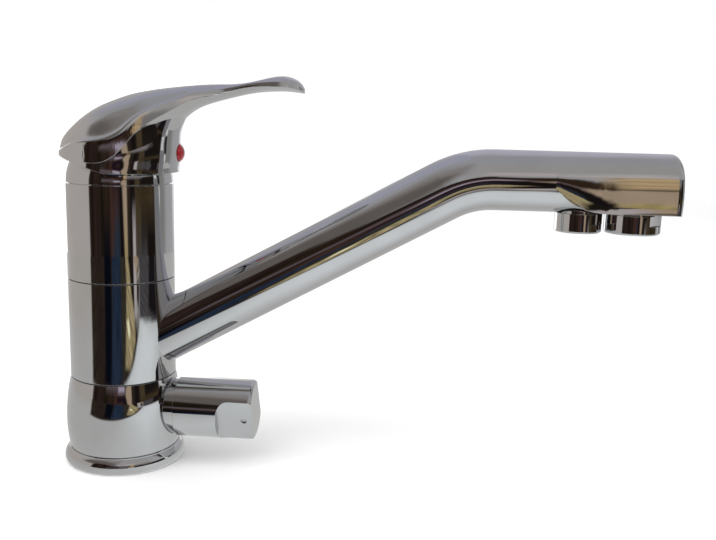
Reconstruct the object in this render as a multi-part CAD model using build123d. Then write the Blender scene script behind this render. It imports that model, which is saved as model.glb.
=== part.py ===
from build123d import *
import math
import os

# Three way filtered water tap: one lever mixes hot and cold, a side knob opens filtered water.
# Millimetres, +Z up. The origin is the middle of the base seat, and +X points along the spout.

# ---------------------------------------------------------------- driving dimensions

# Clearances
running_clearance = 0.05      # radial, shaft in bore
assembly_clearance = 0.1      # radial, parts that are pushed or screwed together
end_play = 0.05               # along Z, between parts that turn on each other

# The tap is built round a 35 mm mixing cartridge
cartridge_radius = 17.5
housing_wall = 4.7            # cartridge housing round the cartridge
sleeve_wall = 1.6
body_radius = cartridge_radius + housing_wall + sleeve_wall + 2 * assembly_clearance

# Body stack, from the deck up
base_height = 7.5
base_bead_step = 2.6          # bead's widest line outside the body's foot
base_bead_height = 2.7        # height of the bead's widest line
base_foot_step = 1.1          # ring's underside outside the body's foot
base_lip_height = 0.5         # thin step at the top of the bead
spigot_step = 5.1             # lower body inside the base ring, in from the body's foot
spigot_recess = 1.0           # lower body's underside above the deck
body_foot_step = 1.1          # lower body's foot outside the swivel ring
belly_swell = 2.45            # belly outside the swivel ring
belly_height = 20.6
lower_seam = 41.4
slip_ring_thickness = 0.45
slip_ring_inset = 0.5         # how far the slip rings hide inside the seam
swivel_height = 45.65
sleeve_height = 43.0
sleeve_lip = 1.5
dome_gap = 0.35               # open line between sleeve and dome ring
dome_inset = 0.15             # dome ring inside the sleeve's face
dome_wall = 1.6
dome_top_angle = 31.0         # degrees above the lever's pivot where the dome ends
gasket_inset = 1.6            # gasket outside the spigot
gasket_width = 2.8
gasket_thickness = 1.5

# Column and its water ways
swivel_wall = 7.0             # swivel ring between the column and the face
o_ring_section = 0.75         # radius of the rubber cord
o_ring_groove_depth = 1.6
o_ring_groove_width = 2.2
annulus_depth = 3.5           # water groove in the swivel ring's bore, mixed water
filter_annulus_depth = 2.5
mixed_annulus_bottom = 9.1    # above the swivel ring's underside
mixed_annulus_height = 13.5
filter_annulus_centre = 29.9  # above the swivel ring's underside
filter_annulus_height = 4.0
supply_radius = 3.0
supply_inset = 8.9            # hot and cold port, in from the cartridge's side
supply_set_back = 1.0         # behind the tap's axis
mixed_radius = 3.6
mixed_inset = 8.5             # mixed water port, in from the cartridge's side
filter_way_radius = 1.6
filter_way_inset = 4.4        # in from the column's side

# Inlets and fixing in the underside
hot_inlet = (-1.5, -12.0)
cold_inlet = (-1.5, 12.0)
filter_inlet = (10.5, 0.0)
inlet_thread_radius = 5.0     # M10 x 1
inlet_thread_depth = 9.0
stud_place = (-13.0, 0.0)
stud_thread_radius = 4.0      # M8
stud_thread_depth = 10.0

# Mixing cartridge
socket_depth = 7.5            # column inside the cartridge housing
housing_floor = 5.0
housing_top_drop = 2.0        # housing ends below the sleeve's top
cartridge_base_height = 3.0
cartridge_wall = 1.8
ceramic_thickness = 3.0
ceramic_gap = 0.2             # between the ceramic discs and the casing
moving_disc_play = 3.0        # moving disc inside the fixed one
mixing_chamber_depth = 1.5
mixing_chamber_lap = 0.8      # chamber in front of the mixed water port
seal_section = 1.6
seal_height = 1.35
rotor_shoulder = 3.5          # width of the rotor's flange
rotor_flange_thickness = 3.6
rotor_drop = 9.5              # rotor's underside below the pivot
rotor_rise = 4.6              # rotor's top above the pivot
rotor_slot_length = 17.0
neck_wall = 2.4
nut_height = 4.0
nut_step = 2.4                # nut's thread outside the cartridge
nut_hex_height = 3.5
nut_hex_step = 1.4            # hexagon's corners inside the thread
stem_width = 8.0
stem_hub_radius = 4.2
stem_hub_length = 9.0
stem_rise = 25.6              # stem's top above the pivot
lower_arm = 12.5              # pivot to ball
lower_arm_radius = 2.2
ball_radius = 3.0
ball_clearance = 0.15
pin_radius = 1.5
pin_inset = 1.0               # pin's ends inside the rotor's side
lift_angle = 25.0             # degrees of lever travel

# Handle
handle_gap = 0.75             # round the dome ring
skirt_wall = 2.0
rim_rise = 5.0                # front rim above the pivot
rim_turn_at = 0.5             # behind this X the rim rises, to clear the sleeve
rim_back_slope = 16.5         # degrees
boss_radius = 8.5
boss_rise = 10.4              # boss's underside above the pivot
lever_reach = 84.0
lever_rise = 44.9             # lever's top at its slimmest place, above the pivot
neck_at = 50.0                # slimmest place of the lever
neck_half_width = 7.4
column_share = 0.987           # radius of the neck's upright sides, as a share of the skirt's
column_rise = 12.0             # where their slanting top crosses the axis, above the pivot
column_slope = 43.5            # degrees
lever_lean = 14.0              # degrees the lever's crown leans in at its edge
crown_steps = 4                # points on each side of a crown, besides its top
skirt_fullness = 0.95          # below 1 the hood's shoulders over the skirt are squarer
hood_back_inset = 1.1         # hood's back end inside the skirt's circle
hood_back_half_width = 4.6
paddle_half_width = 10.8
index_rise = 13.7             # index button and grub screw above the pivot
skirt_flare = 0.9             # skirt's front at the index button, in front of its rim
index_radius = 4.1
index_height = 2.3            # how far the button stands proud at its middle
index_seat_depth = 1.4
index_stud_length = 1.2
grub_radius = 2.5

# Spout
tube_radius = 13.8
tube_wall = 2.5
spout_slope = 28.64           # degrees
spout_foot = 50.4             # height where the sloping axis crosses the tap's own axis
head_height = 137.0           # height of the level axis
bend_radius = 46.0
head_straight = 37.42         # from the bend's corner to where the tube turns into the head
head_blend = 30.0
head_length = 57.5
head_side_radius = 40.0       # head's gently rounded sides
head_side_tilt = 14.0         # degrees, where the crown runs into them
head_growth = 3.2             # how fast the head's form leaves the round tube; 1 is even
head_edge_start = 1.7         # where the lower edge leaves the tube, below its axis
head_corner_rise = 0.9        # crown of the underside
head_end_radius = 3.5
head_wall = 4.3               # sides of the head's chamber
head_roof = 1.8               # wall over the head's chamber
head_end_wall = 8.0
ring_port_radius = 6.5

# Filtered water tube in the spout
filter_tube_radius = 2.5
filter_tube_wall = 0.8
filter_tube_offset = 4.5      # above the spout's axis
filter_tube_foot_bend = 8.0
filter_tube_outlet_bend = 6.0

# Outlets under the head
outlet_drop = 8.7             # collar's length below the head
outlet_edge = 0.8             # chamfer round the mouth
outlet_thread_length = 3.6
outlet_lip_height = 1.2
outlet_lip_width = 1.0
outlet_flat_height = 4.6
outlet_flat_turn = -45.0      # degrees, the way the wrench flats face
main_outlet_inset = 18.4      # main outlet's axis, in from the head's end
main_collar_inset = 1.15      # collar inside the tube's circle
main_thread_step = 1.05       # thread inside the collar
outlet_gap = 1.6              # between the two collars
filter_collar_inset = 3.15
filter_thread_step = 1.75
outlet_wall = 1.2             # thread round the bore
outlet_washer_height = 1.5
outlet_washer_width = 2.3
insert_wall = 1.2
nipple_wall = 1.5
nipple_height = 6.0
adapter_thickness = 3.0
insert_plate = 2.0

# Filter valve and knob
knob_yaw = -4.8               # degrees from +X
knob_height = 25.9
valve_bore_radius = 8.0
valve_bore_depth = 14.65
valve_seal_height = 2.0
valve_disc_thickness = 2.0
valve_disc_radius = 5.9
valve_cage_length = 6.5
boss_radius_at_valve = 11.4   # boss on the lower body, inside the collar
boss_stand_off = 0.2          # boss's end outside the belly
collar_radius = 13.2
collar_length = 0.5           # collar beyond the boss
knob_gap = 0.3
knob_radius = 14.1
knob_length = 36.25
knob_end_round = 1.6
knob_wall = 2.3
knob_hollow_depth = 16.55
knob_hub_radius = 6.0
knob_hub_recess = 2.55        # hub's face inside the knob's mouth
grip_length = 16.1
grip_half_thickness = 8.1
grip_turn = -25.0             # degrees the grip is turned when closed
spindle_radius = 3.0
spindle_cover = 2.5           # knob beyond the spindle's end
knob_screw_inset = 4.2        # screw's axis, in from the knob's end
knob_screw_radius = 1.5

# ---------------------------------------------------------------- places worked out from them

body_foot_radius = body_radius + body_foot_step
base_bead_radius = body_foot_radius + base_bead_step
base_foot_radius = body_foot_radius + base_foot_step
spigot_radius = body_foot_radius - spigot_step
gasket_inner_radius = spigot_radius + gasket_inset
belly_radius = body_radius + belly_swell
dome_radius = body_radius - dome_inset
column_radius = body_radius - swivel_wall
hot_port = (-supply_set_back, supply_inset - cartridge_radius)
cold_port = (-supply_set_back, cartridge_radius - supply_inset)
mixed_port = (mixed_inset - cartridge_radius, 0.0)
filter_way = (column_radius - filter_way_inset, 0.0)
ceramic_radius = cartridge_radius - cartridge_wall - ceramic_gap
moving_disc_radius = ceramic_radius - moving_disc_play
rotor_flange_radius = ceramic_radius
rotor_radius = rotor_flange_radius - rotor_shoulder
nut_radius = cartridge_radius + nut_step
swivel_bottom = lower_seam + slip_ring_thickness + end_play
swivel_top = swivel_bottom + swivel_height
sleeve_bottom = swivel_top + end_play + slip_ring_thickness
sleeve_top = sleeve_bottom + sleeve_height
pivot = sleeve_top + dome_gap
housing_bottom = sleeve_bottom + sleeve_lip
column_top = housing_bottom + socket_depth
cartridge_floor = column_top + housing_floor
housing_top = sleeve_top - housing_top_drop
fixed_disc_bottom = cartridge_floor + cartridge_base_height
moving_disc_bottom = fixed_disc_bottom + ceramic_thickness + end_play
moving_disc_top = moving_disc_bottom + ceramic_thickness
rotor_bottom = pivot - rotor_drop
rotor_top = pivot + rotor_rise
carrier_top = rotor_bottom - 6 * end_play
casing_shoulder = rotor_bottom + rotor_flange_thickness + 4 * end_play
nut_bottom = casing_shoulder + cartridge_wall
sleeve_bore = body_radius - sleeve_wall
housing_radius = sleeve_bore - assembly_clearance
swivel_bore = column_radius + running_clearance
skirt_radius = dome_radius + handle_gap + skirt_wall
cavity_radius = dome_radius + handle_gap
disc_travel = lower_arm * math.sin(math.radians(lift_angle))
slope = math.radians(spout_slope)
bend_at = (head_height - spout_foot) / math.tan(slope)
head_start = bend_at + head_straight
head_end = head_start + head_length
head_bottom = head_height - tube_radius
outlet_bottom = head_bottom - outlet_drop
main_outlet_at = head_end - main_outlet_inset
main_outlet_radius = tube_radius - main_collar_inset
main_thread_radius = main_outlet_radius - main_thread_step
filter_outlet_radius = tube_radius - filter_collar_inset
filter_outlet_at = main_outlet_at - main_outlet_radius - outlet_gap - filter_outlet_radius
filter_thread_radius = filter_outlet_radius - filter_thread_step
head_chamber_radius = tube_radius - head_wall
chamber_height = head_height + tube_radius - head_roof - head_chamber_radius
chamber_floor = chamber_height - head_chamber_radius
filter_annulus = swivel_bottom + filter_annulus_centre
boss_end = belly_radius + boss_stand_off
valve_bore_end = boss_end - valve_bore_depth
collar_end = boss_end + collar_length
knob_start = collar_end + knob_gap
knob_end = knob_start + knob_length
knob_hollow_end = knob_start + knob_hollow_depth
knob_hub_start = knob_start + knob_hub_recess
grip_start = knob_end - grip_length
spindle_end = knob_end - spindle_cover
knob_screw_at = knob_end - knob_screw_inset

ON_FLOOR = (Align.CENTER, Align.CENTER, Align.MIN)

# ---------------------------------------------------------------- helpers


def rod(radius, bottom, top, place=(0.0, 0.0)):
    """An upright cylinder between two heights."""
    return Pos(place[0], place[1], bottom) * Cylinder(radius, top - bottom, align=ON_FLOOR)


def ring(outer, inner, bottom, top, place=(0.0, 0.0)):
    """An upright ring between two heights."""
    return rod(outer, bottom, top, place) - rod(inner, bottom, top, place)


def turned(*edges):
    """The solid swept by an outline in the XZ plane round the tap's axis."""
    return revolve(make_face(list(edges)), axis=Axis.Z)


def outline(*points):
    """Straight edges through (radius, height) points, left open."""
    return Polyline(*[(r, 0, z) for r, z in points])


def block(size, low):
    """A box given by its size and its lowest corner."""
    return Pos(*low) * Box(*size, align=(Align.MIN, Align.MIN, Align.MIN))


knob_frame = Pos(0, 0, knob_height) * Rot(0, 0, knob_yaw) * Rot(0, 90, 0)


def knob_rod(radius, start, end):
    """A cylinder along the knob's axis, measured from the tap's axis."""
    return knob_frame * (Pos(0, 0, start) * Cylinder(radius, end - start, align=ON_FLOOR))


def knob_ring(outer, inner, start, end):
    """A ring along the knob's axis."""
    return knob_rod(outer, start, end) - knob_rod(inner, start, end)


parts = {}

# ---------------------------------------------------------------- foot

gasket_outer_radius = gasket_inner_radius + gasket_width
bead_top = base_height - base_lip_height
lip_radius = body_foot_radius + base_lip_height
base_ring = turned(
    outline((base_foot_radius, 0), (spigot_radius + assembly_clearance, 0),
            (spigot_radius + assembly_clearance, base_height), (lip_radius, base_height),
            (lip_radius, bead_top)),
    TangentArc((base_bead_radius, 0, base_bead_height), (lip_radius, 0, bead_top), tangent=(0, 0, 1)),
    TangentArc((base_bead_radius, 0, base_bead_height), (base_foot_radius, 0, 0), tangent=(0, 0, -1)),
)
parts["base_ring"] = base_ring - ring(
    gasket_outer_radius + assembly_clearance, gasket_inner_radius - assembly_clearance, 0, gasket_thickness)
parts["base_gasket"] = ring(gasket_outer_radius, gasket_inner_radius, 0, gasket_thickness)

# ---------------------------------------------------------------- lower body with column

belly = turned(
    outline((body_foot_radius, base_height), (spigot_radius, base_height), (spigot_radius, spigot_recess),
            (0, spigot_recess), (0, lower_seam), (body_radius, lower_seam)),
    TangentArc((belly_radius, 0, belly_height), (body_radius, 0, lower_seam), tangent=(0, 0, 1)),
    TangentArc((belly_radius, 0, belly_height), (body_foot_radius, 0, base_height), tangent=(0, 0, -1)),
)
lower_body = belly + rod(column_radius, lower_seam, column_top)
lower_body += knob_rod(boss_radius_at_valve, valve_bore_end, boss_end)
inlet_top = spigot_recess + inlet_thread_depth
for inlet, port in ((hot_inlet, hot_port), (cold_inlet, cold_port)):
    lower_body -= rod(inlet_thread_radius, spigot_recess, inlet_top, inlet)
    lower_body -= rod(supply_radius, inlet_top, column_top, port)
lower_body -= rod(stud_thread_radius, spigot_recess, spigot_recess + stud_thread_depth, stud_place)

# Mixed water comes down its own way and leaves towards the back, into the swivel ring's groove
mixed_exit = swivel_bottom + mixed_annulus_bottom + mixed_annulus_height / 2
lower_body -= rod(mixed_radius, mixed_exit, column_top, mixed_port)
lower_body -= Pos(mixed_port[0], 0, mixed_exit) * Rot(0, -90, 0) * Cylinder(
    mixed_radius, column_radius, align=ON_FLOOR)

# Filtered water: in from below, through the valve bore, up the column and out to its own groove
valve_seat_x = valve_bore_end - supply_radius - 1
lower_body -= rod(inlet_thread_radius, spigot_recess, inlet_top, filter_inlet)
lower_body -= rod(filter_way_radius, inlet_top, knob_height, (valve_seat_x, 0))
lower_body -= knob_rod(filter_way_radius, valve_seat_x - filter_way_radius, valve_bore_end)
lower_body -= knob_rod(valve_bore_radius, valve_bore_end, knob_end)
lower_body -= rod(filter_way_radius, knob_height, filter_annulus, filter_way)
lower_body -= Pos(filter_way[0], 0, filter_annulus) * Rot(0, 90, 0) * Cylinder(
    filter_way_radius, column_radius, align=ON_FLOOR)

# Grooves for the O-rings, one below, one between and one above the two water grooves
between_grooves = swivel_bottom + (
    mixed_annulus_bottom + mixed_annulus_height + filter_annulus_centre - filter_annulus_height / 2) / 2
o_ring_heights = (
    swivel_bottom + mixed_annulus_bottom / 2,
    between_grooves,
    (filter_annulus + filter_annulus_height / 2 + swivel_top) / 2,
)
groove_floor = column_radius - o_ring_groove_depth
for height in o_ring_heights:
    lower_body -= ring(column_radius + 1, groove_floor,
                       height - o_ring_groove_width / 2, height + o_ring_groove_width / 2)
parts["lower_body"] = lower_body

o_ring_mean = groove_floor + o_ring_section + running_clearance
parts["column_o_rings"] = Compound([
    Pos(0, 0, height) * Torus(o_ring_mean, o_ring_section) for height in o_ring_heights])

slip_ring_outer = body_radius - slip_ring_inset
slip_ring_inner = column_radius + assembly_clearance
parts["lower_slip_ring"] = ring(
    slip_ring_outer, slip_ring_inner, lower_seam, lower_seam + slip_ring_thickness)
parts["upper_slip_ring"] = ring(
    slip_ring_outer, slip_ring_inner, sleeve_bottom - slip_ring_thickness, sleeve_bottom)

# ---------------------------------------------------------------- upper body

parts["upper_sleeve"] = turned(
    Polyline(*[(r, 0, z) for r, z in (
        (slip_ring_inner, sleeve_bottom), (body_radius, sleeve_bottom), (body_radius, sleeve_top),
        (sleeve_bore, sleeve_top), (sleeve_bore, housing_bottom), (slip_ring_inner, housing_bottom))],
        close=True))

cartridge_bore = cartridge_radius + assembly_clearance
nut_bore = nut_radius + assembly_clearance
housing_step = casing_shoulder - nut_height
housing = ring(housing_radius, cartridge_bore, cartridge_floor, housing_top)
housing += rod(housing_radius, housing_bottom, cartridge_floor)
housing -= rod(column_radius + assembly_clearance / 2, housing_bottom, column_top)
housing -= rod(nut_bore, housing_step, housing_top)
for port in (hot_port, cold_port):
    housing -= rod(supply_radius, column_top, cartridge_floor, port)
housing -= rod(mixed_radius, column_top, cartridge_floor, mixed_port)
parts["cartridge_housing"] = housing

dome_foot = pivot
spigot_outer = sleeve_bore - assembly_clearance
dome_angle = math.radians(dome_top_angle)
dome_inner = dome_radius - dome_wall
inner_foot_angle = math.radians(3)


def dome_point(radius, angle):
    """A point of the dome's section, on a circle round the lever's pivot."""
    return (radius * math.cos(angle), 0, pivot + radius * math.sin(angle))


parts["dome_ring"] = turned(
    ThreePointArc(dome_point(dome_radius, 0), dome_point(dome_radius, dome_angle / 2),
                  dome_point(dome_radius, dome_angle)),
    Line(dome_point(dome_radius, dome_angle), dome_point(dome_inner, dome_angle)),
    ThreePointArc(dome_point(dome_inner, dome_angle), dome_point(dome_inner, dome_angle / 2),
                  dome_point(dome_inner, inner_foot_angle)),
    Polyline(dome_point(dome_inner, inner_foot_angle),
             (nut_bore + 0.6, 0, pivot + dome_inner * math.sin(inner_foot_angle)),
             (nut_bore + 0.6, 0, housing_top), (spigot_outer, 0, housing_top),
             (spigot_outer, 0, pivot), dome_point(dome_radius, 0)),
)

# ---------------------------------------------------------------- mixing cartridge

port_radii = {hot_port: supply_radius, cold_port: supply_radius, mixed_port: mixed_radius}
cartridge_base = rod(cartridge_radius - assembly_clearance, cartridge_floor, fixed_disc_bottom)
fixed_disc = rod(ceramic_radius, fixed_disc_bottom, fixed_disc_bottom + ceramic_thickness)
seals = None
for port, radius in port_radii.items():
    seal_radius = radius + seal_section
    cartridge_base -= rod(radius, cartridge_floor, fixed_disc_bottom, port)
    cartridge_base -= rod(
        seal_radius + running_clearance, cartridge_floor, cartridge_floor + seal_height, port)
    fixed_disc -= rod(radius, fixed_disc_bottom, fixed_disc_bottom + ceramic_thickness, port)
    seal = ring(seal_radius, radius, cartridge_floor, cartridge_floor + seal_height, port)
    seals = seal if seals is None else seals + seal
parts["cartridge_base"] = cartridge_base
parts["cartridge_seals"] = seals
parts["fixed_ceramic_disc"] = fixed_disc

# The moving disc and its carrier lie half a travel behind the middle when the lever is down
disc_place = (-disc_travel / 2, 0)
moving_disc = rod(moving_disc_radius, moving_disc_bottom, moving_disc_top, disc_place)
chamber = rod(moving_disc_radius - mixing_chamber_depth, moving_disc_bottom,
              moving_disc_bottom + mixing_chamber_depth, disc_place)
mixing_chamber_edge = mixed_port[0] + mixed_radius + mixing_chamber_lap
chamber_front = block((4 * moving_disc_radius, 4 * moving_disc_radius, ceramic_thickness),
                      (mixing_chamber_edge, -2 * moving_disc_radius, moving_disc_bottom))
parts["moving_ceramic_disc"] = moving_disc - (chamber - chamber_front)

ball_height = pivot - lower_arm
pocket_radius = ball_radius + ball_clearance
pocket_bottom = ball_height - pocket_radius
parts["disc_carrier"] = rod(moving_disc_radius, moving_disc_top, carrier_top, disc_place) - rod(
    pocket_radius, pocket_bottom, carrier_top)

neck_outer = rotor_radius + running_clearance + neck_wall
casing = ring(cartridge_radius, cartridge_radius - cartridge_wall, fixed_disc_bottom, casing_shoulder)
casing += ring(cartridge_radius, rotor_radius + running_clearance, casing_shoulder, nut_bottom)
casing += ring(neck_outer, rotor_radius + running_clearance, nut_bottom, rotor_top - rotor_rise / 4)
parts["cartridge_casing"] = casing

slot_width = stem_hub_length + 4 * running_clearance
rotor = rod(rotor_radius, rotor_bottom, rotor_top)
rotor += rod(rotor_flange_radius, rotor_bottom, rotor_bottom + rotor_flange_thickness)
rotor -= block((rotor_slot_length, slot_width, rotor_drop + rotor_rise),
               (-rotor_slot_length / 2, -slot_width / 2, rotor_bottom))
pin_bore = Pos(0, 0, pivot) * Rot(90, 0, 0) * Cylinder(pin_radius, 2 * rotor_radius)
parts["cartridge_rotor"] = rotor - pin_bore
parts["cartridge_pin"] = Pos(0, 0, pivot) * Rot(90, 0, 0) * Cylinder(
    pin_radius, 2 * (rotor_radius - pin_inset))

stem = block((stem_width, stem_width, stem_rise), (-stem_width / 2, -stem_width / 2, pivot))
stem += Pos(0, 0, pivot) * Rot(90, 0, 0) * Cylinder(stem_hub_radius, stem_hub_length)
stem += rod(lower_arm_radius, ball_height, pivot)
stem += Pos(0, 0, ball_height) * Sphere(ball_radius)
stem -= Pos(0, 0, pivot) * Rot(90, 0, 0) * Cylinder(pin_radius + running_clearance, 2 * stem_hub_length)
parts["cartridge_stem"] = stem

nut_inner = neck_outer + assembly_clearance
nut = rod(nut_radius, nut_bottom, nut_bottom + nut_height)
nut += Pos(0, 0, nut_bottom + nut_height) * extrude(
    RegularPolygon(nut_radius - nut_hex_step, 6), nut_hex_height)
parts["cartridge_nut"] = nut - rod(nut_inner, nut_bottom, nut_bottom + nut_height + nut_hex_height)

# ---------------------------------------------------------------- handle

def between(low, high, share):
    """The value a share of the way from low to high."""
    return low + share * (high - low)


# The hood and lever are one form, lofted through stations along X. Each station is a crown over a
# keel, and the two meet in the crisp edge along the lever's side. Heights are above the pivot, in
# shares of the lever's rise.


def station(along, half_width, edge, top, keel, lean=0.0, fullness=1.0):
    """One closed section of the hood or lever: an elliptical crown over a keel arc. The crown's sides
    lean in at the edge by some degrees; a fullness less than 1 makes its shoulders squarer."""
    edge_height = pivot + edge * lever_rise
    crown_height = (top - edge) * lever_rise
    steepness = math.tan(math.radians(lean)) * crown_height / half_width
    cut = steepness / (1 - steepness)
    start = math.asin(cut)
    crown_points = []
    for index in range(2 * crown_steps + 1):
        angle = between(start, math.pi - start, index / (2 * crown_steps))
        across = math.cos(angle) / math.cos(start)
        across = math.copysign(abs(across) ** fullness, across)
        up = abs((math.sin(angle) - cut) / (1 - cut)) ** fullness
        crown_points.append((along, across * half_width, edge_height + up * crown_height))
    inward = cut * half_width / math.cos(start)
    upward = crown_height * math.cos(start) / (1 - cut)
    crown = Spline(*crown_points, tangents=[(0, -inward, upward), (0, -inward, -upward)])
    under = ThreePointArc(crown_points[-1], (along, 0, pivot + keel * lever_rise), crown_points[0])
    return make_face([crown, under])


def skirt_station(along, spread, *heights):
    """A section over the skirt. The distance is a share of the skirt's radius, and spread widens it."""
    place = along * skirt_radius
    half_width = math.sqrt(skirt_radius**2 - place**2) + spread
    return station(place, half_width, *heights, fullness=skirt_fullness)


def shoulder_station(along, width, *shape):
    """A section between skirt and lever. The width runs from the lever's 0 to the skirt's 1."""
    return station(along * neck_at, between(neck_half_width, skirt_radius, width), *shape)


def lever_station(along, width, *heights):
    """A section of the lever. The distance runs from its slimmest place at 0 to its tip at 1."""
    return station(between(neck_at, lever_reach, along), width * paddle_half_width, *heights, lever_lean)


hood = loft([
    station(hood_back_inset - skirt_radius, hood_back_half_width, 0.235, 0.335, 0.228),
    skirt_station(-0.872, -0.2, 0.213, 0.475, 0.203),
    skirt_station(-0.586, 0.1, 0.21, 0.641, 0.2),
    skirt_station(-0.301, 0.0, 0.214, 0.755, 0.2),
    skirt_station(0.0, 0.0, 0.225, 0.831, 0.209),
    shoulder_station(0.14, 0.958, 0.329, 0.884, 0.29, 2),
    shoulder_station(0.26, 0.844, 0.491, 0.915, 0.423, 5),
    shoulder_station(0.4, 0.656, 0.622, 0.942, 0.49, 8),
    shoulder_station(0.54, 0.438, 0.723, 0.962, 0.59, 11),
    shoulder_station(0.68, 0.24, 0.821, 0.98, 0.719, 13),
    shoulder_station(0.84, 0.083, 0.876, 0.993, 0.802, 14),
    shoulder_station(1.0, 0.0, 0.92, 1.0, 0.855, lever_lean),
    lever_station(0.3, 0.858, 0.967, 1.024, 0.911),
    lever_station(0.6, 1.0, 0.978, 1.082, 0.938),
    lever_station(0.8, 0.98, 0.973, 1.082, 0.94),
    lever_station(0.93, 0.72, 0.958, 1.038, 0.931),
    lever_station(1.0, 0.3, 0.94, 0.962, 0.929),
])


def neck_ring(height, front, radius):
    """A circle of the skirt and neck, given by its frontmost place, in shares of the skirt's radius."""
    return Pos((front - radius) * skirt_radius, 0, pivot + height) * Circle(radius * skirt_radius)


neck = loft([
    neck_ring(rim_rise, 1.0, 1.0),
    neck_ring((rim_rise + index_rise) / 2, 1.0 + skirt_flare / 2 / skirt_radius, 0.99),
    neck_ring(index_rise, 1.0 + skirt_flare / skirt_radius, 0.975),
    neck_ring(0.472 * lever_rise, 1.037, 0.88),
    neck_ring(0.581 * lever_rise, 1.083, 0.8),
    neck_ring(0.673 * lever_rise, 1.16, 0.74),
    neck_ring(0.735 * lever_rise, 1.26, 0.64),
    neck_ring(0.79 * lever_rise, 1.3, 0.56),
])
# Under the lever's crisp edge the neck's sides stay upright.
neck_column = Pos(skirt_flare / 2, 0, 0) * rod(
    column_share * skirt_radius, pivot + rim_rise, pivot + 0.8 * lever_rise)
edge_plane = Plane((0, 0, pivot + column_rise)).rotated((0, -column_slope, 0))
neck_column = split(neck_column, edge_plane, Keep.BOTTOM)
handle = hood + neck + neck_column
back_cut = block((3 * skirt_radius, 4 * skirt_radius, skirt_radius),
                 (-3 * skirt_radius, -2 * skirt_radius, -skirt_radius))
handle -= Pos(rim_turn_at, 0, pivot + rim_rise) * Rot(0, rim_back_slope, 0) * back_cut
handle -= Pos(0, 0, pivot) * Sphere(cavity_radius)
handle += rod(boss_radius, pivot + boss_rise, pivot + cavity_radius + 1)
socket = stem_width + 2 * running_clearance
handle -= block((socket, socket, stem_rise + running_clearance), (-socket / 2, -socket / 2, pivot))
index_height_z = pivot + index_rise
index_face = skirt_radius + skirt_flare - 0.1
screw_way = Pos(0, 0, index_height_z) * Rot(0, 90, 0) * Cylinder(
    grub_radius, 2 * skirt_radius, align=ON_FLOOR)
handle -= screw_way
seat = index_face - index_seat_depth
handle -= Pos(seat, 0, index_height_z) * Rot(0, 90, 0) * Cylinder(
    index_radius + running_clearance, skirt_radius, align=ON_FLOOR)
parts["handle"] = handle
screw_start = stem_width / 2 + running_clearance
parts["handle_grub_screw"] = Pos(screw_start, 0, index_height_z) * Rot(0, 90, 0) * Cylinder(
    grub_radius, boss_radius - screw_start - running_clearance, align=ON_FLOOR)

button_top = index_seat_depth + index_height
crown_radius = (index_radius**2 + index_height**2) / (2 * index_height)
button = rod(index_radius, 0, button_top) & (Pos(0, 0, button_top - crown_radius) * Sphere(crown_radius))
button += rod(grub_radius - running_clearance, -index_stud_length, index_seat_depth)
parts["index_button"] = Pos(seat, 0, index_height_z) * Rot(0, 90, 0) * button

# ---------------------------------------------------------------- spout

tube_start = 10.0
bend_tangent = bend_radius * math.tan(slope / 2)


def spout_path(offset, start, end):
    """The spout's line: up the slope, round the bend and level, moved up by an offset."""
    lift = offset / math.cos(slope)
    corner = (bend_at - offset * math.tan(slope / 2), 0, head_height + offset)
    foot = (start, 0, spout_foot + start * math.tan(slope) + lift)
    return FilletPolyline(foot, corner, (end, 0, head_height + offset), radius=bend_radius)


def pipe(path, radius):
    """A round bar along a path."""
    return sweep(Plane(path @ 0, z_dir=path % 0) * Circle(radius), path=path)


# The head keeps the tube's crown. Below it the sides grow flatter and the underside opens from the
# tube's half circle to a nearly flat sole, so that a crisp edge runs down from the tube's side.

side_tilt = math.radians(head_side_tilt)


def head_section(along, share):
    """One section of the head; share runs from 0 at the round tube to 1 at the full head."""
    growth = 1 - (1 - share) ** head_growth
    side_radius = 1 / between(1 / tube_radius, 1 / head_side_radius, growth)
    side_centre = (tube_radius - side_radius) * math.cos(side_tilt)
    side_level = (tube_radius - side_radius) * math.sin(side_tilt)
    crown_side = (tube_radius * math.cos(side_tilt), tube_radius * math.sin(side_tilt))
    corner_level = between(-head_edge_start, head_corner_rise - tube_radius, growth)

    def side_point(level):
        """The half width and height of the side at a height above the axis."""
        return side_centre + math.sqrt(side_radius**2 - (level - side_level) ** 2), level

    def left(point):
        return (along, point[0], head_height + point[1])

    def right(point):
        return (along, -point[0], head_height + point[1])

    corner = side_point(corner_level)
    middle = side_point((crown_side[1] + corner_level) / 2)
    return make_face([
        ThreePointArc(left(crown_side), (along, 0, head_height + tube_radius), right(crown_side)),
        ThreePointArc(right(crown_side), right(middle), right(corner)),
        ThreePointArc(right(corner), (along, 0, head_bottom), left(corner)),
        ThreePointArc(left(corner), left(middle), left(crown_side)),
    ])


head_stations = (0.0, 0.12, 0.26, 0.42, 0.62, 0.82, 1.0)
blend = loft([head_section(head_start + head_blend * share, share) for share in head_stations])
head = extrude(head_section(head_start + head_blend, 1.0), head_end - head_start - head_blend, dir=(1, 0, 0))
end_face = head.faces().sort_by(Axis.X)[-1]
end_edges = [edge for edge in end_face.edges() if edge.center().Z > head_bottom + head_corner_rise]
head = fillet(end_edges, head_end_radius)

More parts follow.
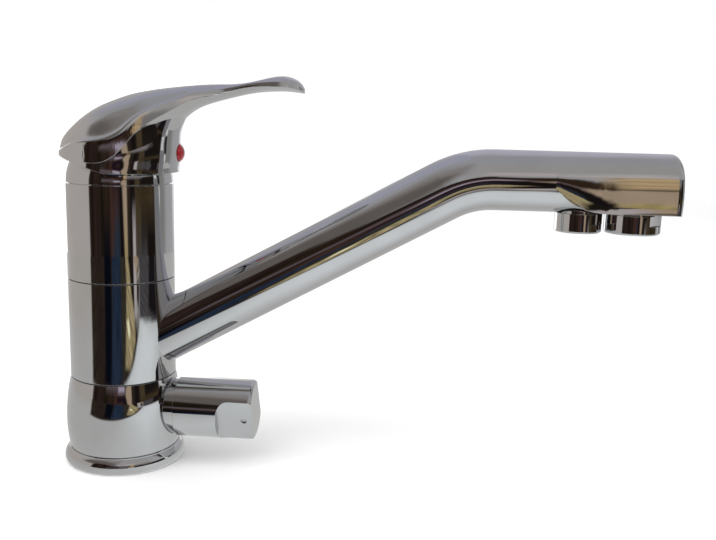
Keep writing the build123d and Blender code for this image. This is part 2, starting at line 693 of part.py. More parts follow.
spout = rod(body_radius, swivel_bottom, swivel_top)
spout += pipe(spout_path(0, tube_start, head_start), tube_radius)
spout += blend
spout += head
spout -= rod(swivel_bore, swivel_bottom, swivel_top)
mixed_bottom = swivel_bottom + mixed_annulus_bottom
spout -= rod(swivel_bore + annulus_depth, mixed_bottom, mixed_bottom + mixed_annulus_height)
spout -= rod(swivel_bore + filter_annulus_depth, filter_annulus - filter_annulus_height / 2,
             filter_annulus + filter_annulus_height / 2)
inner_wall = body_radius - 1.0
water_way = pipe(spout_path(0, tube_start, head_start), tube_radius - tube_wall)
spout -= water_way - rod(inner_wall, 0, head_height)
spout -= Pos(column_radius, 0, mixed_exit) * Rot(0, 90, 0) * Cylinder(
    ring_port_radius, body_radius - column_radius + 3, align=ON_FLOOR)
spout -= Pos(column_radius, 0, filter_annulus) * Rot(0, 90, 0) * Cylinder(
    filter_tube_radius + running_clearance, body_radius - column_radius + 1, align=ON_FLOOR)
spout -= Pos(head_start, 0, chamber_height) * Rot(0, 90, 0) * Cylinder(
    head_chamber_radius, head_end - head_end_wall - head_start, align=ON_FLOOR)
spout -= rod(main_thread_radius + running_clearance, head_bottom - 1, chamber_floor + 1, (main_outlet_at, 0))
spout -= rod(
    filter_thread_radius + running_clearance, head_bottom - 1, chamber_floor + 1, (filter_outlet_at, 0))
parts["spout_casting"] = spout

# ---------------------------------------------------------------- outlets


def outlet_housing(place, collar, thread):
    """Collar with two wrench flats, a threaded spigot into the head and a lip that holds the insert."""
    at = (place, 0)
    bore = thread - outlet_wall
    mouth = Pos(place, 0, outlet_bottom) * Cylinder(collar, outlet_drop, align=ON_FLOOR)
    mouth = chamfer(mouth.edges().sort_by(Axis.Z)[0], outlet_edge)
    flats = block((2 * collar, 4 * collar, outlet_flat_height), (0.9 * collar, -2 * collar, 0))
    for turn in (outlet_flat_turn, outlet_flat_turn + 180):
        mouth -= Pos(place, 0, head_bottom - outlet_flat_height) * Rot(0, 0, turn) * flats
    mouth += rod(thread, head_bottom, head_bottom + outlet_thread_length, at)
    mouth -= rod(bore, outlet_bottom + outlet_lip_height, head_bottom + outlet_thread_length, at)
    return mouth - rod(bore - outlet_lip_width, outlet_bottom, outlet_bottom + outlet_lip_height, at)


def outlet_insert(place, bore):
    """A cup whose two plates are pierced by rings of water holes."""
    at = (place, 0)
    radius = bore - assembly_clearance
    bottom = outlet_bottom + outlet_lip_height
    top = head_bottom + outlet_thread_length - outlet_washer_height
    insert = ring(radius, radius - insert_wall, bottom, top, at)
    for plate_bottom in (bottom, top - insert_plate):
        plate = rod(radius - 0.9 * insert_wall, plate_bottom, plate_bottom + insert_plate, at)
        for count, share in ((6, 0.32), (12, 0.68)):
            for index in range(count):
                angle = 2 * math.pi * index / count
                hole = (place + share * radius * math.cos(angle), share * radius * math.sin(angle))
                plate -= rod(0.1 * radius, plate_bottom, plate_bottom + insert_plate, hole)
        insert += plate
    return insert


def outlet_washer(place, bore):
    """A flat rubber ring on top of the insert, flush with the spigot."""
    top = head_bottom + outlet_thread_length
    radius = bore - assembly_clearance
    return ring(radius, radius - outlet_washer_width, top - outlet_washer_height, top, (place, 0))


for name, place, collar, thread in (
    ("main_outlet", main_outlet_at, main_outlet_radius, main_thread_radius),
    ("filter_outlet", filter_outlet_at, filter_outlet_radius, filter_thread_radius),
):
    parts[f"{name}_housing"] = outlet_housing(place, collar, thread)
    parts[f"{name}_insert"] = outlet_insert(place, thread - outlet_wall)
    parts[f"{name}_washer"] = outlet_washer(place, thread - outlet_wall)

adapter_bottom = head_bottom + outlet_thread_length
nipple_top = adapter_bottom + adapter_thickness + nipple_height
nipple_step = nipple_top - nipple_height / 2
outlet_axis = (filter_outlet_at, 0)
adapter = rod(filter_thread_radius, adapter_bottom, adapter_bottom + adapter_thickness, outlet_axis)
adapter += rod(filter_tube_radius + nipple_wall, adapter_bottom, nipple_top, outlet_axis)
adapter -= rod(filter_tube_radius - filter_tube_wall, adapter_bottom, nipple_top, outlet_axis)
adapter -= rod(filter_tube_radius + running_clearance, nipple_step, nipple_top, outlet_axis)
parts["filter_outlet_adapter"] = adapter

# The filtered water tube starts in the swivel ring's wall and ends in the adapter's nipple
tube_level = head_height + filter_tube_offset
tube_lift = filter_tube_offset / math.cos(slope)
tube_foot = (swivel_bore + filter_annulus_depth + 0.6, 0, filter_annulus)
tube_turn = ((filter_annulus - spout_foot - tube_lift) / math.tan(slope), 0, filter_annulus)
tube_bend = (bend_at - filter_tube_offset * math.tan(slope / 2), 0, tube_level)
tube_path = FilletPolyline(
    tube_foot, tube_turn, tube_bend, (filter_outlet_at, 0, tube_level), (filter_outlet_at, 0, nipple_step),
    radius=[filter_tube_foot_bend, bend_radius, filter_tube_outlet_bend])
parts["filtered_water_tube"] = pipe(tube_path, filter_tube_radius) - pipe(
    tube_path, filter_tube_radius - filter_tube_wall)

# ---------------------------------------------------------------- filter valve and knob

seal_end = valve_bore_end + valve_seal_height
fixed_end = seal_end + valve_disc_thickness
turning_start = fixed_end + end_play
turning_end = turning_start + valve_disc_thickness
cage_end = seal_end + valve_cage_length
thread_radius = valve_bore_radius - assembly_clearance
parts["filter_valve_seal"] = knob_ring(valve_disc_radius, valve_disc_radius / 2, valve_bore_end, seal_end)
way_turn = Pos(valve_disc_radius / 2, 0, 0)


def valve_disc(start, end):
    """A ceramic disc with one D-shaped half open."""
    disc = Pos(0, 0, start) * Cylinder(valve_disc_radius, end - start, align=ON_FLOOR)
    window = Pos(0, 0, start) * Cylinder(0.7 * valve_disc_radius, end - start, align=ON_FLOOR)
    half = block((valve_disc_radius, 2 * valve_disc_radius, end - start), (0.6, -valve_disc_radius, start))
    return disc - (window & half)


parts["filter_fixed_disc"] = knob_frame * valve_disc(seal_end, fixed_end)
parts["filter_turning_disc"] = knob_frame * (Rot(0, 0, 180) * valve_disc(turning_start, turning_end))

headwork = knob_rod(thread_radius, seal_end, collar_end)
headwork -= knob_rod(valve_disc_radius + running_clearance, seal_end, cage_end)
headwork -= knob_rod(spindle_radius + running_clearance, cage_end, collar_end)
o_ring_seat = (cage_end + collar_end) / 2
seat_radius = spindle_radius + 2 * o_ring_section
headwork -= knob_rod(seat_radius, o_ring_seat - o_ring_section - 0.1, o_ring_seat + o_ring_section + 0.1)
window_frame = knob_frame * Pos(0, 0, seal_end + valve_cage_length / 2)
headwork -= window_frame * Box(2 * valve_bore_radius, valve_disc_radius, valve_cage_length * 0.5)
parts["filter_headwork"] = headwork
parts["filter_spindle_o_ring"] = knob_frame * Pos(0, 0, o_ring_seat) * Torus(
    spindle_radius + o_ring_section + 0.04, o_ring_section - 0.04)

spindle = knob_rod(spindle_radius, turning_end, spindle_end)
spindle += knob_rod(valve_disc_radius - running_clearance, turning_end, cage_end - 3 * end_play)
parts["filter_spindle"] = spindle
# The collar's back edge follows the belly, so it starts inside the casting and is cut by it
collar = knob_ring(collar_radius, boss_radius_at_valve + running_clearance, valve_bore_end, collar_end)
collar += knob_ring(collar_radius, thread_radius + assembly_clearance, boss_end, collar_end)
parts["filter_cover_ring"] = collar - belly

knob = knob_rod(knob_radius, knob_start, knob_end)
knob = fillet(knob.edges().sort_by(Axis.X)[-1], knob_end_round)
knob -= knob_rod(knob_radius - knob_wall, knob_start, knob_hollow_end)
knob += knob_rod(knob_hub_radius, knob_hub_start, knob_hollow_end + 1)
knob -= knob_rod(spindle_radius + running_clearance, knob_start, spindle_end + running_clearance)
scoop_depth = knob_radius - grip_half_thickness
grip_cut = block((scoop_depth + 1, 4 * knob_radius, grip_length + 1),
                 (grip_half_thickness, -2 * knob_radius, grip_start))
inner_corner = grip_cut.edges().filter_by(Axis.Y).sort_by(lambda edge: edge.center().X + edge.center().Z)[0]
grip_cut = fillet(inner_corner, scoop_depth * 0.9)
# In the knob's frame local Y points to the camera side's opposite, and local X points down
for turn in (-90 - grip_turn, 90 - grip_turn):
    knob -= knob_frame * Rot(0, 0, turn) * grip_cut
screw_frame = knob_frame * Rot(0, 0, -90 - grip_turn) * Pos(0, 0, knob_screw_at) * Rot(0, 90, 0)
screw_start = spindle_radius + running_clearance
knob -= screw_frame * Pos(0, 0, screw_start - 1) * Cylinder(knob_screw_radius, knob_radius, align=ON_FLOOR)
parts["filter_knob"] = knob
parts["filter_knob_screw"] = screw_frame * Pos(0, 0, screw_start) * Cylinder(
    knob_screw_radius, grip_half_thickness - screw_start - 0.6, align=ON_FLOOR)

# ---------------------------------------------------------------- files

os.makedirs("parts", exist_ok=True)
for name, shape in parts.items():
    export_step(shape, f"parts/{name}.step")
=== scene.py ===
"""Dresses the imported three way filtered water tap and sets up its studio.

Everything is in metres, +Z up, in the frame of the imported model. The origin is the middle of the
base seat and +X runs along the spout. The camera stands where the photograph was taken.
"""

from __future__ import annotations

import logging
import math
from collections.abc import Sequence
from dataclasses import dataclass
from enum import Enum

import bmesh
import bpy
from mathutils import Matrix, Vector


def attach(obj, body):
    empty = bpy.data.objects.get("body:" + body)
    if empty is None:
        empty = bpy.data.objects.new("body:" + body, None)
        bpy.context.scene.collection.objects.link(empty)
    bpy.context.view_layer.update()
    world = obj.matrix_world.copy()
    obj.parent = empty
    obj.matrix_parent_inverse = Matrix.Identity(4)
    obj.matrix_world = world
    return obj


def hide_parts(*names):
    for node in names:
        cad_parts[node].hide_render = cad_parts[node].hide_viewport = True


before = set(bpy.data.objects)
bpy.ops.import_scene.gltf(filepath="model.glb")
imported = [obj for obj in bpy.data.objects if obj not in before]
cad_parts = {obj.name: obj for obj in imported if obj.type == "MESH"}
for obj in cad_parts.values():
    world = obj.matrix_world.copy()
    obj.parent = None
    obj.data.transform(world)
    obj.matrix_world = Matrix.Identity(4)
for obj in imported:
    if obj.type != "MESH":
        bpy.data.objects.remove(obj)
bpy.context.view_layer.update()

log = logging.getLogger("tap")

MM = 0.001

# Most of a noise texture's values lie between these two.
NOISE_LOW = 0.3
NOISE_HIGH = 0.7

# Points of a pattern that are closer than this, in metres, are one.
MERGE_DISTANCE = 1e-7

# A strainer's outermost wires stand at this share of its radius. Its upper layer lies this many wire
# radii over the lower one, and its rim is this many times as thick as its wires.
WIRE_REACH = 0.94
LAYER_RISE = 1.8
RIM_THICKNESS = 2.0

Socket = bpy.types.NodeSocket
Colour = tuple[float, float, float]
Scale = tuple[float, float, float]
Corners = tuple[tuple[float, float], ...]

# A place on a canvas: its colour, and how deep its upright and its level streaks are.
Paint = tuple[Colour, float, float]


class Slot(Enum):
    """The record's material slots."""

    CHROME = "chrome"
    BRASS = "brass"
    STEEL = "steel"
    RUBBER = "rubber"
    SLIP_RING = "slip_ring"
    CARTRIDGE = "cartridge_plastic"
    TUBE = "tube_plastic"
    INSERT = "insert_plastic"
    CERAMIC = "ceramic"
    INDEX = "index_red"


class Body(Enum):
    """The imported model's bodies that carry new pieces."""

    TAP = "tap_body"
    SPOUT = "spout"


# ---------------------------------------------------------------- node trees


class NodeSheet:
    """A thin wrapper that adds and joins the nodes of one tree."""

    def __init__(self, tree: bpy.types.NodeTree) -> None:
        """Starts on an empty tree.

        Args:
            tree: the node tree to fill.
        """
        self.tree = tree
        self.tree.nodes.clear()

    def add(self, kind: str, **settings: object) -> bpy.types.Node:
        """Adds a node.

        Args:
            kind: the node's bl_idname.
            **settings: attributes of the node itself.

        Returns:
            The new node.
        """
        node = self.tree.nodes.new(kind)
        for name, value in settings.items():
            setattr(node, name, value)
        return node

    def set(self, node: bpy.types.Node, **values: object) -> bpy.types.Node:
        """Sets input sockets by name, with underscores for spaces.

        Args:
            node: the node to change.
            **values: a value or an output socket for each input.

        Returns:
            The same node.
        """
        for name, value in values.items():
            socket = node.inputs[name.replace("_", " ")]
            if isinstance(value, Socket):
                self.tree.links.new(value, socket)
            else:
                socket.default_value = value
        return node

    def maths(self, operation: str, *values: Socket | float) -> Socket:
        """Adds a Math node.

        Args:
            operation: what it works out.
            *values: its inputs, in order.

        Returns:
            Its result.
        """
        node = self.add("ShaderNodeMath", operation=operation)
        for socket, value in zip(node.inputs, values):
            if isinstance(value, Socket):
                self.tree.links.new(value, socket)
            else:
                socket.default_value = value
        return node.outputs["Value"]

    def noise(self, where: Socket, scale: float, detail: float = 3.0) -> Socket:
        """Adds a noise texture.

        Args:
            where: the coordinates it reads.
            scale: its scale, in waves per metre.
            detail: its octaves.

        Returns:
            Its grey output.
        """
        node = self.add("ShaderNodeTexNoise")
        self.set(node, Vector=where, Scale=scale, Detail=detail)
        return node.outputs["Fac"]

    def stretched(self, where: Socket, scale: Sequence[float]) -> Socket:
        """Scales coordinates along each axis.

        Args:
            where: the coordinates.
            scale: the factor on each axis.

        Returns:
            The scaled coordinates.
        """
        node = self.add("ShaderNodeMapping")
        self.set(node, Vector=where, Scale=scale)
        return node.outputs["Vector"]

    def spread(self, value: Socket, low: float, high: float) -> Socket:
        """Maps a noise's middle range onto low to high.

        Args:
            value: the noise.
            low: the result at NOISE_LOW.
            high: the result at NOISE_HIGH.

        Returns:
            The mapped value.
        """
        node = self.add("ShaderNodeMapRange")
        self.set(node, Value=value, From_Min=NOISE_LOW, From_Max=NOISE_HIGH, To_Min=low, To_Max=high)
        return node.outputs["Result"]

    def blend(self, share: Socket, low: Colour, high: Colour) -> Socket:
        """Mixes two colours by a value.

        Args:
            share: the mixing value.
            low: the colour at 0.
            high: the colour at 1.

        Returns:
            The mixed colour.
        """
        node = self.add("ShaderNodeMix", data_type="RGBA")
        self.tree.links.new(share, node.inputs["Factor"])
        node.inputs[6].default_value = (*low, 1.0)
        node.inputs[7].default_value = (*high, 1.0)
        return node.outputs[2]


def new_material(name: str) -> tuple[bpy.types.Material, NodeSheet, bpy.types.Node, Socket]:
    """Makes a material with a Principled shader.

    Args:
        name: the material's name.

    Returns:
        The material, its sheet, the shader and the Object coordinates.
    """
    material = bpy.data.materials.new(name)
    material.use_nodes = True
    sheet = NodeSheet(material.node_tree)
    shader = sheet.add("ShaderNodeBsdfPrincipled")
    output = sheet.add("ShaderNodeOutputMaterial")
    sheet.set(output, Surface=shader.outputs["BSDF"])
    where = sheet.add("ShaderNodeTexCoord").outputs["Object"]
    return material, sheet, shader, where


# ---------------------------------------------------------------- finishes


@dataclass(frozen=True)
class ChromePlate:
    """Polished chrome plate, with the faint waves that buffing leaves and a thin haze of handling."""

    name: str
    wave_height: float
    waves_per_metre: float
    tint: Colour = (0.585, 0.588, 0.6)
    shade: Colour = (0.55, 0.552, 0.56)
    polish: tuple[float, float] = (0.014, 0.04)
    edge_round: float = 0.25 * MM
    haze_per_metre: float = 60.0
    wipe_marks: Scale = (700.0, 700.0, 60.0)

    def material(self) -> bpy.types.Material:
        """Makes the plate.

        Returns:
            The plate as a material.
        """
        material, sheet, shader, where = new_material(self.name)
        haze = sheet.noise(where, self.haze_per_metre, detail=5.0)
        wipe = sheet.noise(sheet.stretched(where, self.wipe_marks), 1.0, detail=4.0)
        finest, dullest = self.polish
        rough = sheet.maths("MULTIPLY_ADD", wipe, finest, sheet.spread(haze, finest / 2, dullest))
        edge = sheet.add("ShaderNodeBevel", samples=4)
        sheet.set(edge, Radius=self.edge_round)
        bump = sheet.add("ShaderNodeBump")
        waves = sheet.noise(where, self.waves_per_metre, detail=2.0)
        sheet.set(bump, Strength=1.0, Distance=self.wave_height, Height=waves,
                  Normal=edge.outputs["Normal"])
        sheet.set(shader, Base_Color=sheet.blend(sheet.spread(haze, 0.0, 1.0), self.shade, self.tint),
                  Metallic=1.0, Roughness=rough, Normal=bump.outputs["Normal"])
        return material


@dataclass(frozen=True)
class TurnedMetal:
    """Brass or steel with the fine rings that a lathe leaves, round the given axis."""

    name: str
    light: Colour
    dark: Colour
    rough: float = 0.32
    rough_range: float = 0.1
    rings: Scale = (120.0, 120.0, 2600.0)
    ring_depth: float = 0.02 * MM
    patches_per_metre: float = 90.0

    def material(self) -> bpy.types.Material:
        """Makes the metal.

        Returns:
            The metal as a material.
        """
        material, sheet, shader, where = new_material(self.name)
        grooves = sheet.noise(sheet.stretched(where, self.rings), 1.0, detail=2.0)
        patch = sheet.noise(where, self.patches_per_metre, detail=4.0)
        bump = sheet.add("ShaderNodeBump")
        sheet.set(bump, Strength=0.5, Distance=self.ring_depth, Height=grooves)
        rough = sheet.spread(grooves, self.rough - self.rough_range, self.rough + self.rough_range)
        sheet.set(shader, Base_Color=sheet.blend(sheet.spread(patch, 0.0, 1.0), self.dark, self.light),
                  Metallic=1.0, Roughness=rough, Normal=bump.outputs["Normal"])
        return material


@dataclass(frozen=True)
class MouldedPlastic:
    """Moulded plastic, rubber or ceramic: even colour with a faint cloud, and a fine grain."""

    name: str
    light: Colour
    dark: Colour
    rough: tuple[float, float] = (0.35, 0.5)
    grain: float = 0.02 * MM
    grains_per_metre: float = 3000.0
    clouds_per_metre: float = 160.0
    coat: float = 0.0

    def material(self) -> bpy.types.Material:
        """Makes the plastic.

        Returns:
            The plastic as a material.
        """
        material, sheet, shader, where = new_material(self.name)
        cloud = sheet.noise(where, self.clouds_per_metre, detail=4.0)
        grain = sheet.noise(where, self.grains_per_metre, detail=2.0)
        bump = sheet.add("ShaderNodeBump")
        sheet.set(bump, Strength=0.4, Distance=self.grain, Height=grain)
        sheet.set(shader, Base_Color=sheet.blend(sheet.spread(cloud, 0.0, 1.0), self.dark, self.light),
                  Roughness=sheet.spread(cloud, *self.rough), Coat_Weight=self.coat,
                  Coat_Roughness=0.04, Normal=bump.outputs["Normal"])
        return material


class Finish(Enum):
    """The finishes, each with the record's slot that it belongs to."""

    TURNED_CHROME = (Slot.CHROME, ChromePlate("turned_chrome", 0.004 * MM, 40.0))
    CAST_CHROME = (Slot.CHROME, ChromePlate("cast_chrome", 0.011 * MM, 42.0))
    BRASS = (Slot.BRASS, TurnedMetal("turned_brass", (0.78, 0.58, 0.27), (0.62, 0.44, 0.19)))
    STEEL = (Slot.STEEL, TurnedMetal("turned_steel", (0.6, 0.6, 0.61), (0.46, 0.46, 0.47), 0.28))
    RUBBER = (Slot.RUBBER, MouldedPlastic(
        "nitrile_rubber", (0.03, 0.03, 0.031), (0.014, 0.014, 0.015), (0.55, 0.75)))
    SLIP_RING = (Slot.SLIP_RING, MouldedPlastic(
        "slip_ring_plastic", (0.05, 0.05, 0.052), (0.03, 0.03, 0.032)))
    CARTRIDGE = (Slot.CARTRIDGE, MouldedPlastic(
        "cartridge_plastic", (0.66, 0.66, 0.63), (0.56, 0.56, 0.53)))
    TUBE = (Slot.TUBE, MouldedPlastic(
        "tube_plastic", (0.78, 0.8, 0.82), (0.7, 0.72, 0.74), (0.18, 0.26)))
    INSERT = (Slot.INSERT, MouldedPlastic(
        "insert_plastic", (0.62, 0.64, 0.66), (0.52, 0.54, 0.56), (0.22, 0.34)))
    CERAMIC = (Slot.CERAMIC, MouldedPlastic(
        "lapped_ceramic", (0.86, 0.84, 0.8), (0.78, 0.76, 0.72), (0.12, 0.2)))
    INDEX_RED = (Slot.INDEX, MouldedPlastic(
        "index_red", (0.36, 0.012, 0.022), (0.24, 0.006, 0.012), (0.16, 0.24), coat=0.6))


class FinishShelf:
    """Makes each finish once and hands it out."""

    def __init__(self) -> None:
        """Starts with nothing made."""
        self.made: dict[Finish, bpy.types.Material] = {}

    def take(self, finish: Finish) -> bpy.types.Material:
        """Returns a finish as a material.

        Args:
            finish: the finish.

        Returns:
            Its material, made at its first use.
        """
        if finish not in self.made:
            self.made[finish] = finish.value[1].material()
        return self.made[finish]

    def dress(self, piece: bpy.types.Object, finish: Finish) -> None:
        """Gives a piece one finish.

        Args:
            piece: a CAD node or a new piece.
            finish: the finish.
        """
        piece.data.materials.clear()
        piece.data.materials.append(self.take(finish))


# ---------------------------------------------------------------- patterns


class Pattern:
    """A geometry node tree whose named inputs are the sizes of what it makes."""

    def __init__(self, name: str, lengths: Sequence[str], counts: Sequence[str] = ()) -> None:
        """Makes the tree with its inputs.

        Args:
            name: the tree's name.
            lengths: the inputs that are lengths in metres.
            counts: the inputs that are whole numbers.
        """
        tree = bpy.data.node_groups.new(name, "GeometryNodeTree")
        tree.interface.new_socket("Geometry", in_out="OUTPUT", socket_type="NodeSocketGeometry")
        tree.interface.new_socket("Places", in_out="INPUT", socket_type="NodeSocketGeometry")
        self.keys: dict[str, str] = {}
        for labels, kind in ((lengths, "NodeSocketFloat"), (counts, "NodeSocketInt"),
                             (("Material",), "NodeSocketMaterial")):
            for label in labels:
                socket = tree.interface.new_socket(label, in_out="INPUT", socket_type=kind)
                self.keys[label] = socket.identifier
        self.sheet = NodeSheet(tree)
        self.inputs = self.sheet.add("NodeGroupInput").outputs

    def vector(self, x: Socket | float = 0.0, y: Socket | float = 0.0,
               z: Socket | float = 0.0) -> Socket:
        """Joins three values into a vector.

        Args:
            x: the first value.
            y: the second value.
            z: the third value.

        Returns:
            The vector.
        """
        node = self.sheet.add("ShaderNodeCombineXYZ")
        return self.sheet.set(node, X=x, Y=y, Z=z).outputs["Vector"]

    def circle(self, radius: Socket, sides: Socket | int) -> Socket:
        """Adds a flat circle.

        Args:
            radius: its radius.
            sides: how many sides it has.

        Returns:
            The curve.
        """
        node = self.sheet.add("GeometryNodeCurvePrimitiveCircle")
        return self.sheet.set(node, Radius=radius, Resolution=sides).outputs["Curve"]

    def bar(self, path: Socket, radius: Socket, sides: int) -> Socket:
        """Runs a round bar along a curve.

        Args:
            path: the curve.
            radius: the bar's radius.
            sides: the sides of its section.

        Returns:
            The bar's mesh.
        """
        upright = self.sheet.set(self.sheet.add("GeometryNodeSetCurveNormal", mode="Z_UP"), Curve=path)
        node = self.sheet.add("GeometryNodeCurveToMesh")
        self.sheet.set(node, Curve=upright.outputs["Curve"], Profile_Curve=self.circle(radius, sides))
        node.inputs["Fill Caps"].default_value = True
        return node.outputs["Mesh"]

    def repeat(self, shape: Socket, places: Socket, scale: Socket | None = None) -> Socket:
        """Sets a copy of a shape on each point.

        Args:
            shape: what is repeated.
            places: the points.
            scale: the scale of each copy, if they differ.

        Returns:
            The copies, as instances.
        """
        node = self.sheet.add("GeometryNodeInstanceOnPoints")
        self.sheet.set(node, Points=places, Instance=shape)
        if scale is not None:
            self.sheet.set(node, Scale=scale)
        return node.outputs["Instances"]

    def join(self, *shapes: Socket) -> Socket:
        """Joins shapes into one.

        Args:
            *shapes: the shapes.

        Returns:
            The joined geometry.
        """
        node = self.sheet.add("GeometryNodeJoinGeometry")
        for shape in shapes:
            self.sheet.tree.links.new(shape, node.inputs["Geometry"])
        return node.outputs["Geometry"]

    def close(self, shape: Socket) -> Pattern:
        """Ends the tree in a plain mesh with its material.

        Args:
            shape: what the tree makes.

        Returns:
            The pattern itself.
        """
        real = self.sheet.set(self.sheet.add("GeometryNodeRealizeInstances"), Geometry=shape)
        coated = self.sheet.add("GeometryNodeSetMaterial")
        self.sheet.set(coated, Geometry=real.outputs["Geometry"], Material=self.inputs["Material"])
        self.sheet.set(self.sheet.add("NodeGroupOutput"), Geometry=coated.outputs["Geometry"])
        return self

    def make(self, name: str, places: Sequence[Vector], material: bpy.types.Material,
             **sizes: float) -> bpy.types.Object:
        """Makes a piece: a plain mesh at the origin, with its faces pointing outwards.

        Args:
            name: the piece's name.
            places: the points that the pattern starts from.
            material: its material.
            **sizes: the value of each input.

        Returns:
            The piece.
        """
        points = bpy.data.meshes.new(f"{name}_places")
        points.from_pydata(list(places), [], [])
        source = bpy.data.objects.new(f"{name}_source", points)
        bpy.context.scene.collection.objects.link(source)
        modifier = source.modifiers.new("pattern", "NODES")
        modifier.node_group = self.sheet.tree
        modifier[self.keys["Material"]] = material
        for label, value in sizes.items():
            modifier[self.keys[label]] = value
        graph = bpy.context.evaluated_depsgraph_get()
        mesh = bpy.data.meshes.new_from_object(source.evaluated_get(graph))
        source.modifiers.clear()
        bpy.data.objects.remove(source)
        bpy.data.meshes.remove(points)
        work = bmesh.new()
        work.from_mesh(mesh)
        bmesh.ops.remove_doubles(work, verts=work.verts, dist=MERGE_DISTANCE)
        bmesh.ops.recalc_face_normals(work, faces=work.faces)
        work.to_mesh(mesh)
        work.free()
        mesh.name = name
        mesh.shade_smooth()
        piece = bpy.data.objects.new(name, mesh)
        bpy.context.scene.collection.objects.link(piece)
        return piece


def thread_pattern() -> Pattern:
    """Winds a screw thread's ridge up from each point.

    Returns:
        The pattern.
    """
    made = Pattern("thread_ridge", ("Radius", "Tooth", "Length", "Turns"), ("Steps",))
    spiral = made.sheet.add("GeometryNodeCurveSpiral")
    made.sheet.set(spiral, Resolution=made.inputs["Steps"], Rotations=made.inputs["Turns"],
                   Start_Radius=made.inputs["Radius"], End_Radius=made.inputs["Radius"],
                   Height=made.inputs["Length"])
    ridge = made.bar(spiral.outputs["Curve"], made.inputs["Tooth"], sides=4)
    return made.close(made.repeat(ridge, made.inputs["Places"]))


def ring_pattern() -> Pattern:
    """Lays a round-section ring at each point.

    Returns:
        The pattern.
    """
    made = Pattern("cord_ring", ("Radius", "Cord"), ("Steps",))
    line = made.circle(made.inputs["Radius"], made.inputs["Steps"])
    ring = made.bar(line, made.inputs["Cord"], sides=14)
    return made.close(made.repeat(ring, made.inputs["Places"]))


def wire_pattern() -> Pattern:
    """Weaves a round strainer: two layers of crossed wires in a wire rim.

    Returns:
        The pattern.
    """
    made = Pattern("wire_strainer", ("Radius", "Wire"), ("Wires",))
    sheet, radius, thickness = made.sheet, made.inputs["Radius"], made.inputs["Wire"]
    outer = sheet.maths("MULTIPLY", radius, WIRE_REACH)
    line = sheet.add("GeometryNodeMeshLine", mode="END_POINTS")
    sheet.set(line, Count=made.inputs["Wires"], Offset=made.vector(x=outer),
              Start_Location=made.vector(x=sheet.maths("MULTIPLY", outer, -1.0)))
    where = sheet.add("ShaderNodeSeparateXYZ")
    sheet.set(where, Vector=sheet.add("GeometryNodeInputPosition").outputs["Position"])
    squares = sheet.maths("SUBTRACT", sheet.maths("POWER", radius, 2.0),
                          sheet.maths("POWER", where.outputs["X"], 2.0))
    unit = sheet.add("GeometryNodeCurvePrimitiveLine")
    sheet.set(unit, Start=(0.0, -1.0, 0.0), End=(0.0, 1.0, 0.0))
    wire = made.bar(unit.outputs["Curve"], thickness, sides=8)
    half_width = made.vector(x=1.0, y=sheet.maths("SQRT", squares), z=1.0)
    layer = made.repeat(wire, line.outputs["Mesh"], half_width)
    across = sheet.add("GeometryNodeTransform")
    sheet.set(across, Geometry=layer, Rotation=(0.0, 0.0, math.pi / 2),
              Translation=made.vector(z=sheet.maths("MULTIPLY", thickness, LAYER_RISE)))
    rim = made.bar(made.circle(radius, sides=64), sheet.maths("MULTIPLY", thickness, RIM_THICKNESS),
                   sides=8)
    cloth = made.join(layer, across.outputs["Geometry"], rim)
    return made.close(made.repeat(cloth, made.inputs["Places"]))


# ---------------------------------------------------------------- studio


class Streak(Enum):
    """The way the fine streaks of a painted patch run."""

    NONE = "none"
    UPRIGHT = "upright"
    LEVEL = "level"


@dataclass(frozen=True)
class Patch:
    """A soft-edged area of a canvas. Its corners run round it, as (across, up) pairs."""

    name: str
    corners: Corners
    colour: Colour
    soft: float
    streak: Streak = Streak.NONE
    depth: float = 0.0

    def cover(self, across: float, up: float) -> float:
        """Gives how much of the patch lies on a place.

        Args:
            across: the place's first coordinate.
            up: the place's second coordinate.

        Returns:
            0 outside, 1 inside, and a smooth value at the edge.
        """
        if not self.near(across, up):
            return 0.0
        inside = False
        nearest = math.inf
        for (x0, y0), (x1, y1) in zip(self.corners, self.corners[1:] + self.corners[:1]):
            if (y0 > up) != (y1 > up) and across < x0 + (up - y0) * (x1 - x0) / (y1 - y0):
                inside = not inside
            run, rise = x1 - x0, y1 - y0
            share = ((across - x0) * run + (up - y0) * rise) / (run * run + rise * rise)
            share = min(1.0, max(0.0, share))
            nearest = min(nearest, math.hypot(across - x0 - share * run, up - y0 - share * rise))
        depth = nearest if inside else -nearest
        share = min(1.0, max(0.0, 0.5 + 0.5 * depth / self.soft))
        return share * share * (3.0 - 2.0 * share)

    def near(self, across: float, up: float) -> bool:
        """Tells whether a place is within the patch's outer bounds.

        Args:
            across: the place's first coordinate.
            up: the place's second coordinate.

        Returns:
            True if the patch may reach it.
        """
        wide = [corner[0] for corner in self.corners]
        high = [corner[1] for corner in self.corners]
        return (min(wide) - self.soft < across < max(wide) + self.soft
                and min(high) - self.soft < up < max(high) + self.soft)


@dataclass(frozen=True)
class Canvas:
    """A painted sheet that only reflections see. Its later patches lie over the earlier ones."""

    name: str
    ground: Colour
    patches: tuple[Patch, ...]

    def paint(self, across: float, up: float) -> Paint:
        """Mixes the patches over the ground at one place.

        Args:
            across: the place's first coordinate.
            up: the place's second coordinate.

        Returns:
            What the place is painted with.
        """
        colour, upright, level = self.ground, 0.0, 0.0
        for patch in self.patches:
            cover = patch.cover(across, up)
            if cover > 0.0:
                colour = tuple(a + cover * (b - a) for a, b in zip(colour, patch.colour))
                upright += cover * ((patch.depth if patch.streak is Streak.UPRIGHT else 0.0) - upright)
                level += cover * ((patch.depth if patch.streak is Streak.LEVEL else 0.0) - level)
        return colour, upright, level


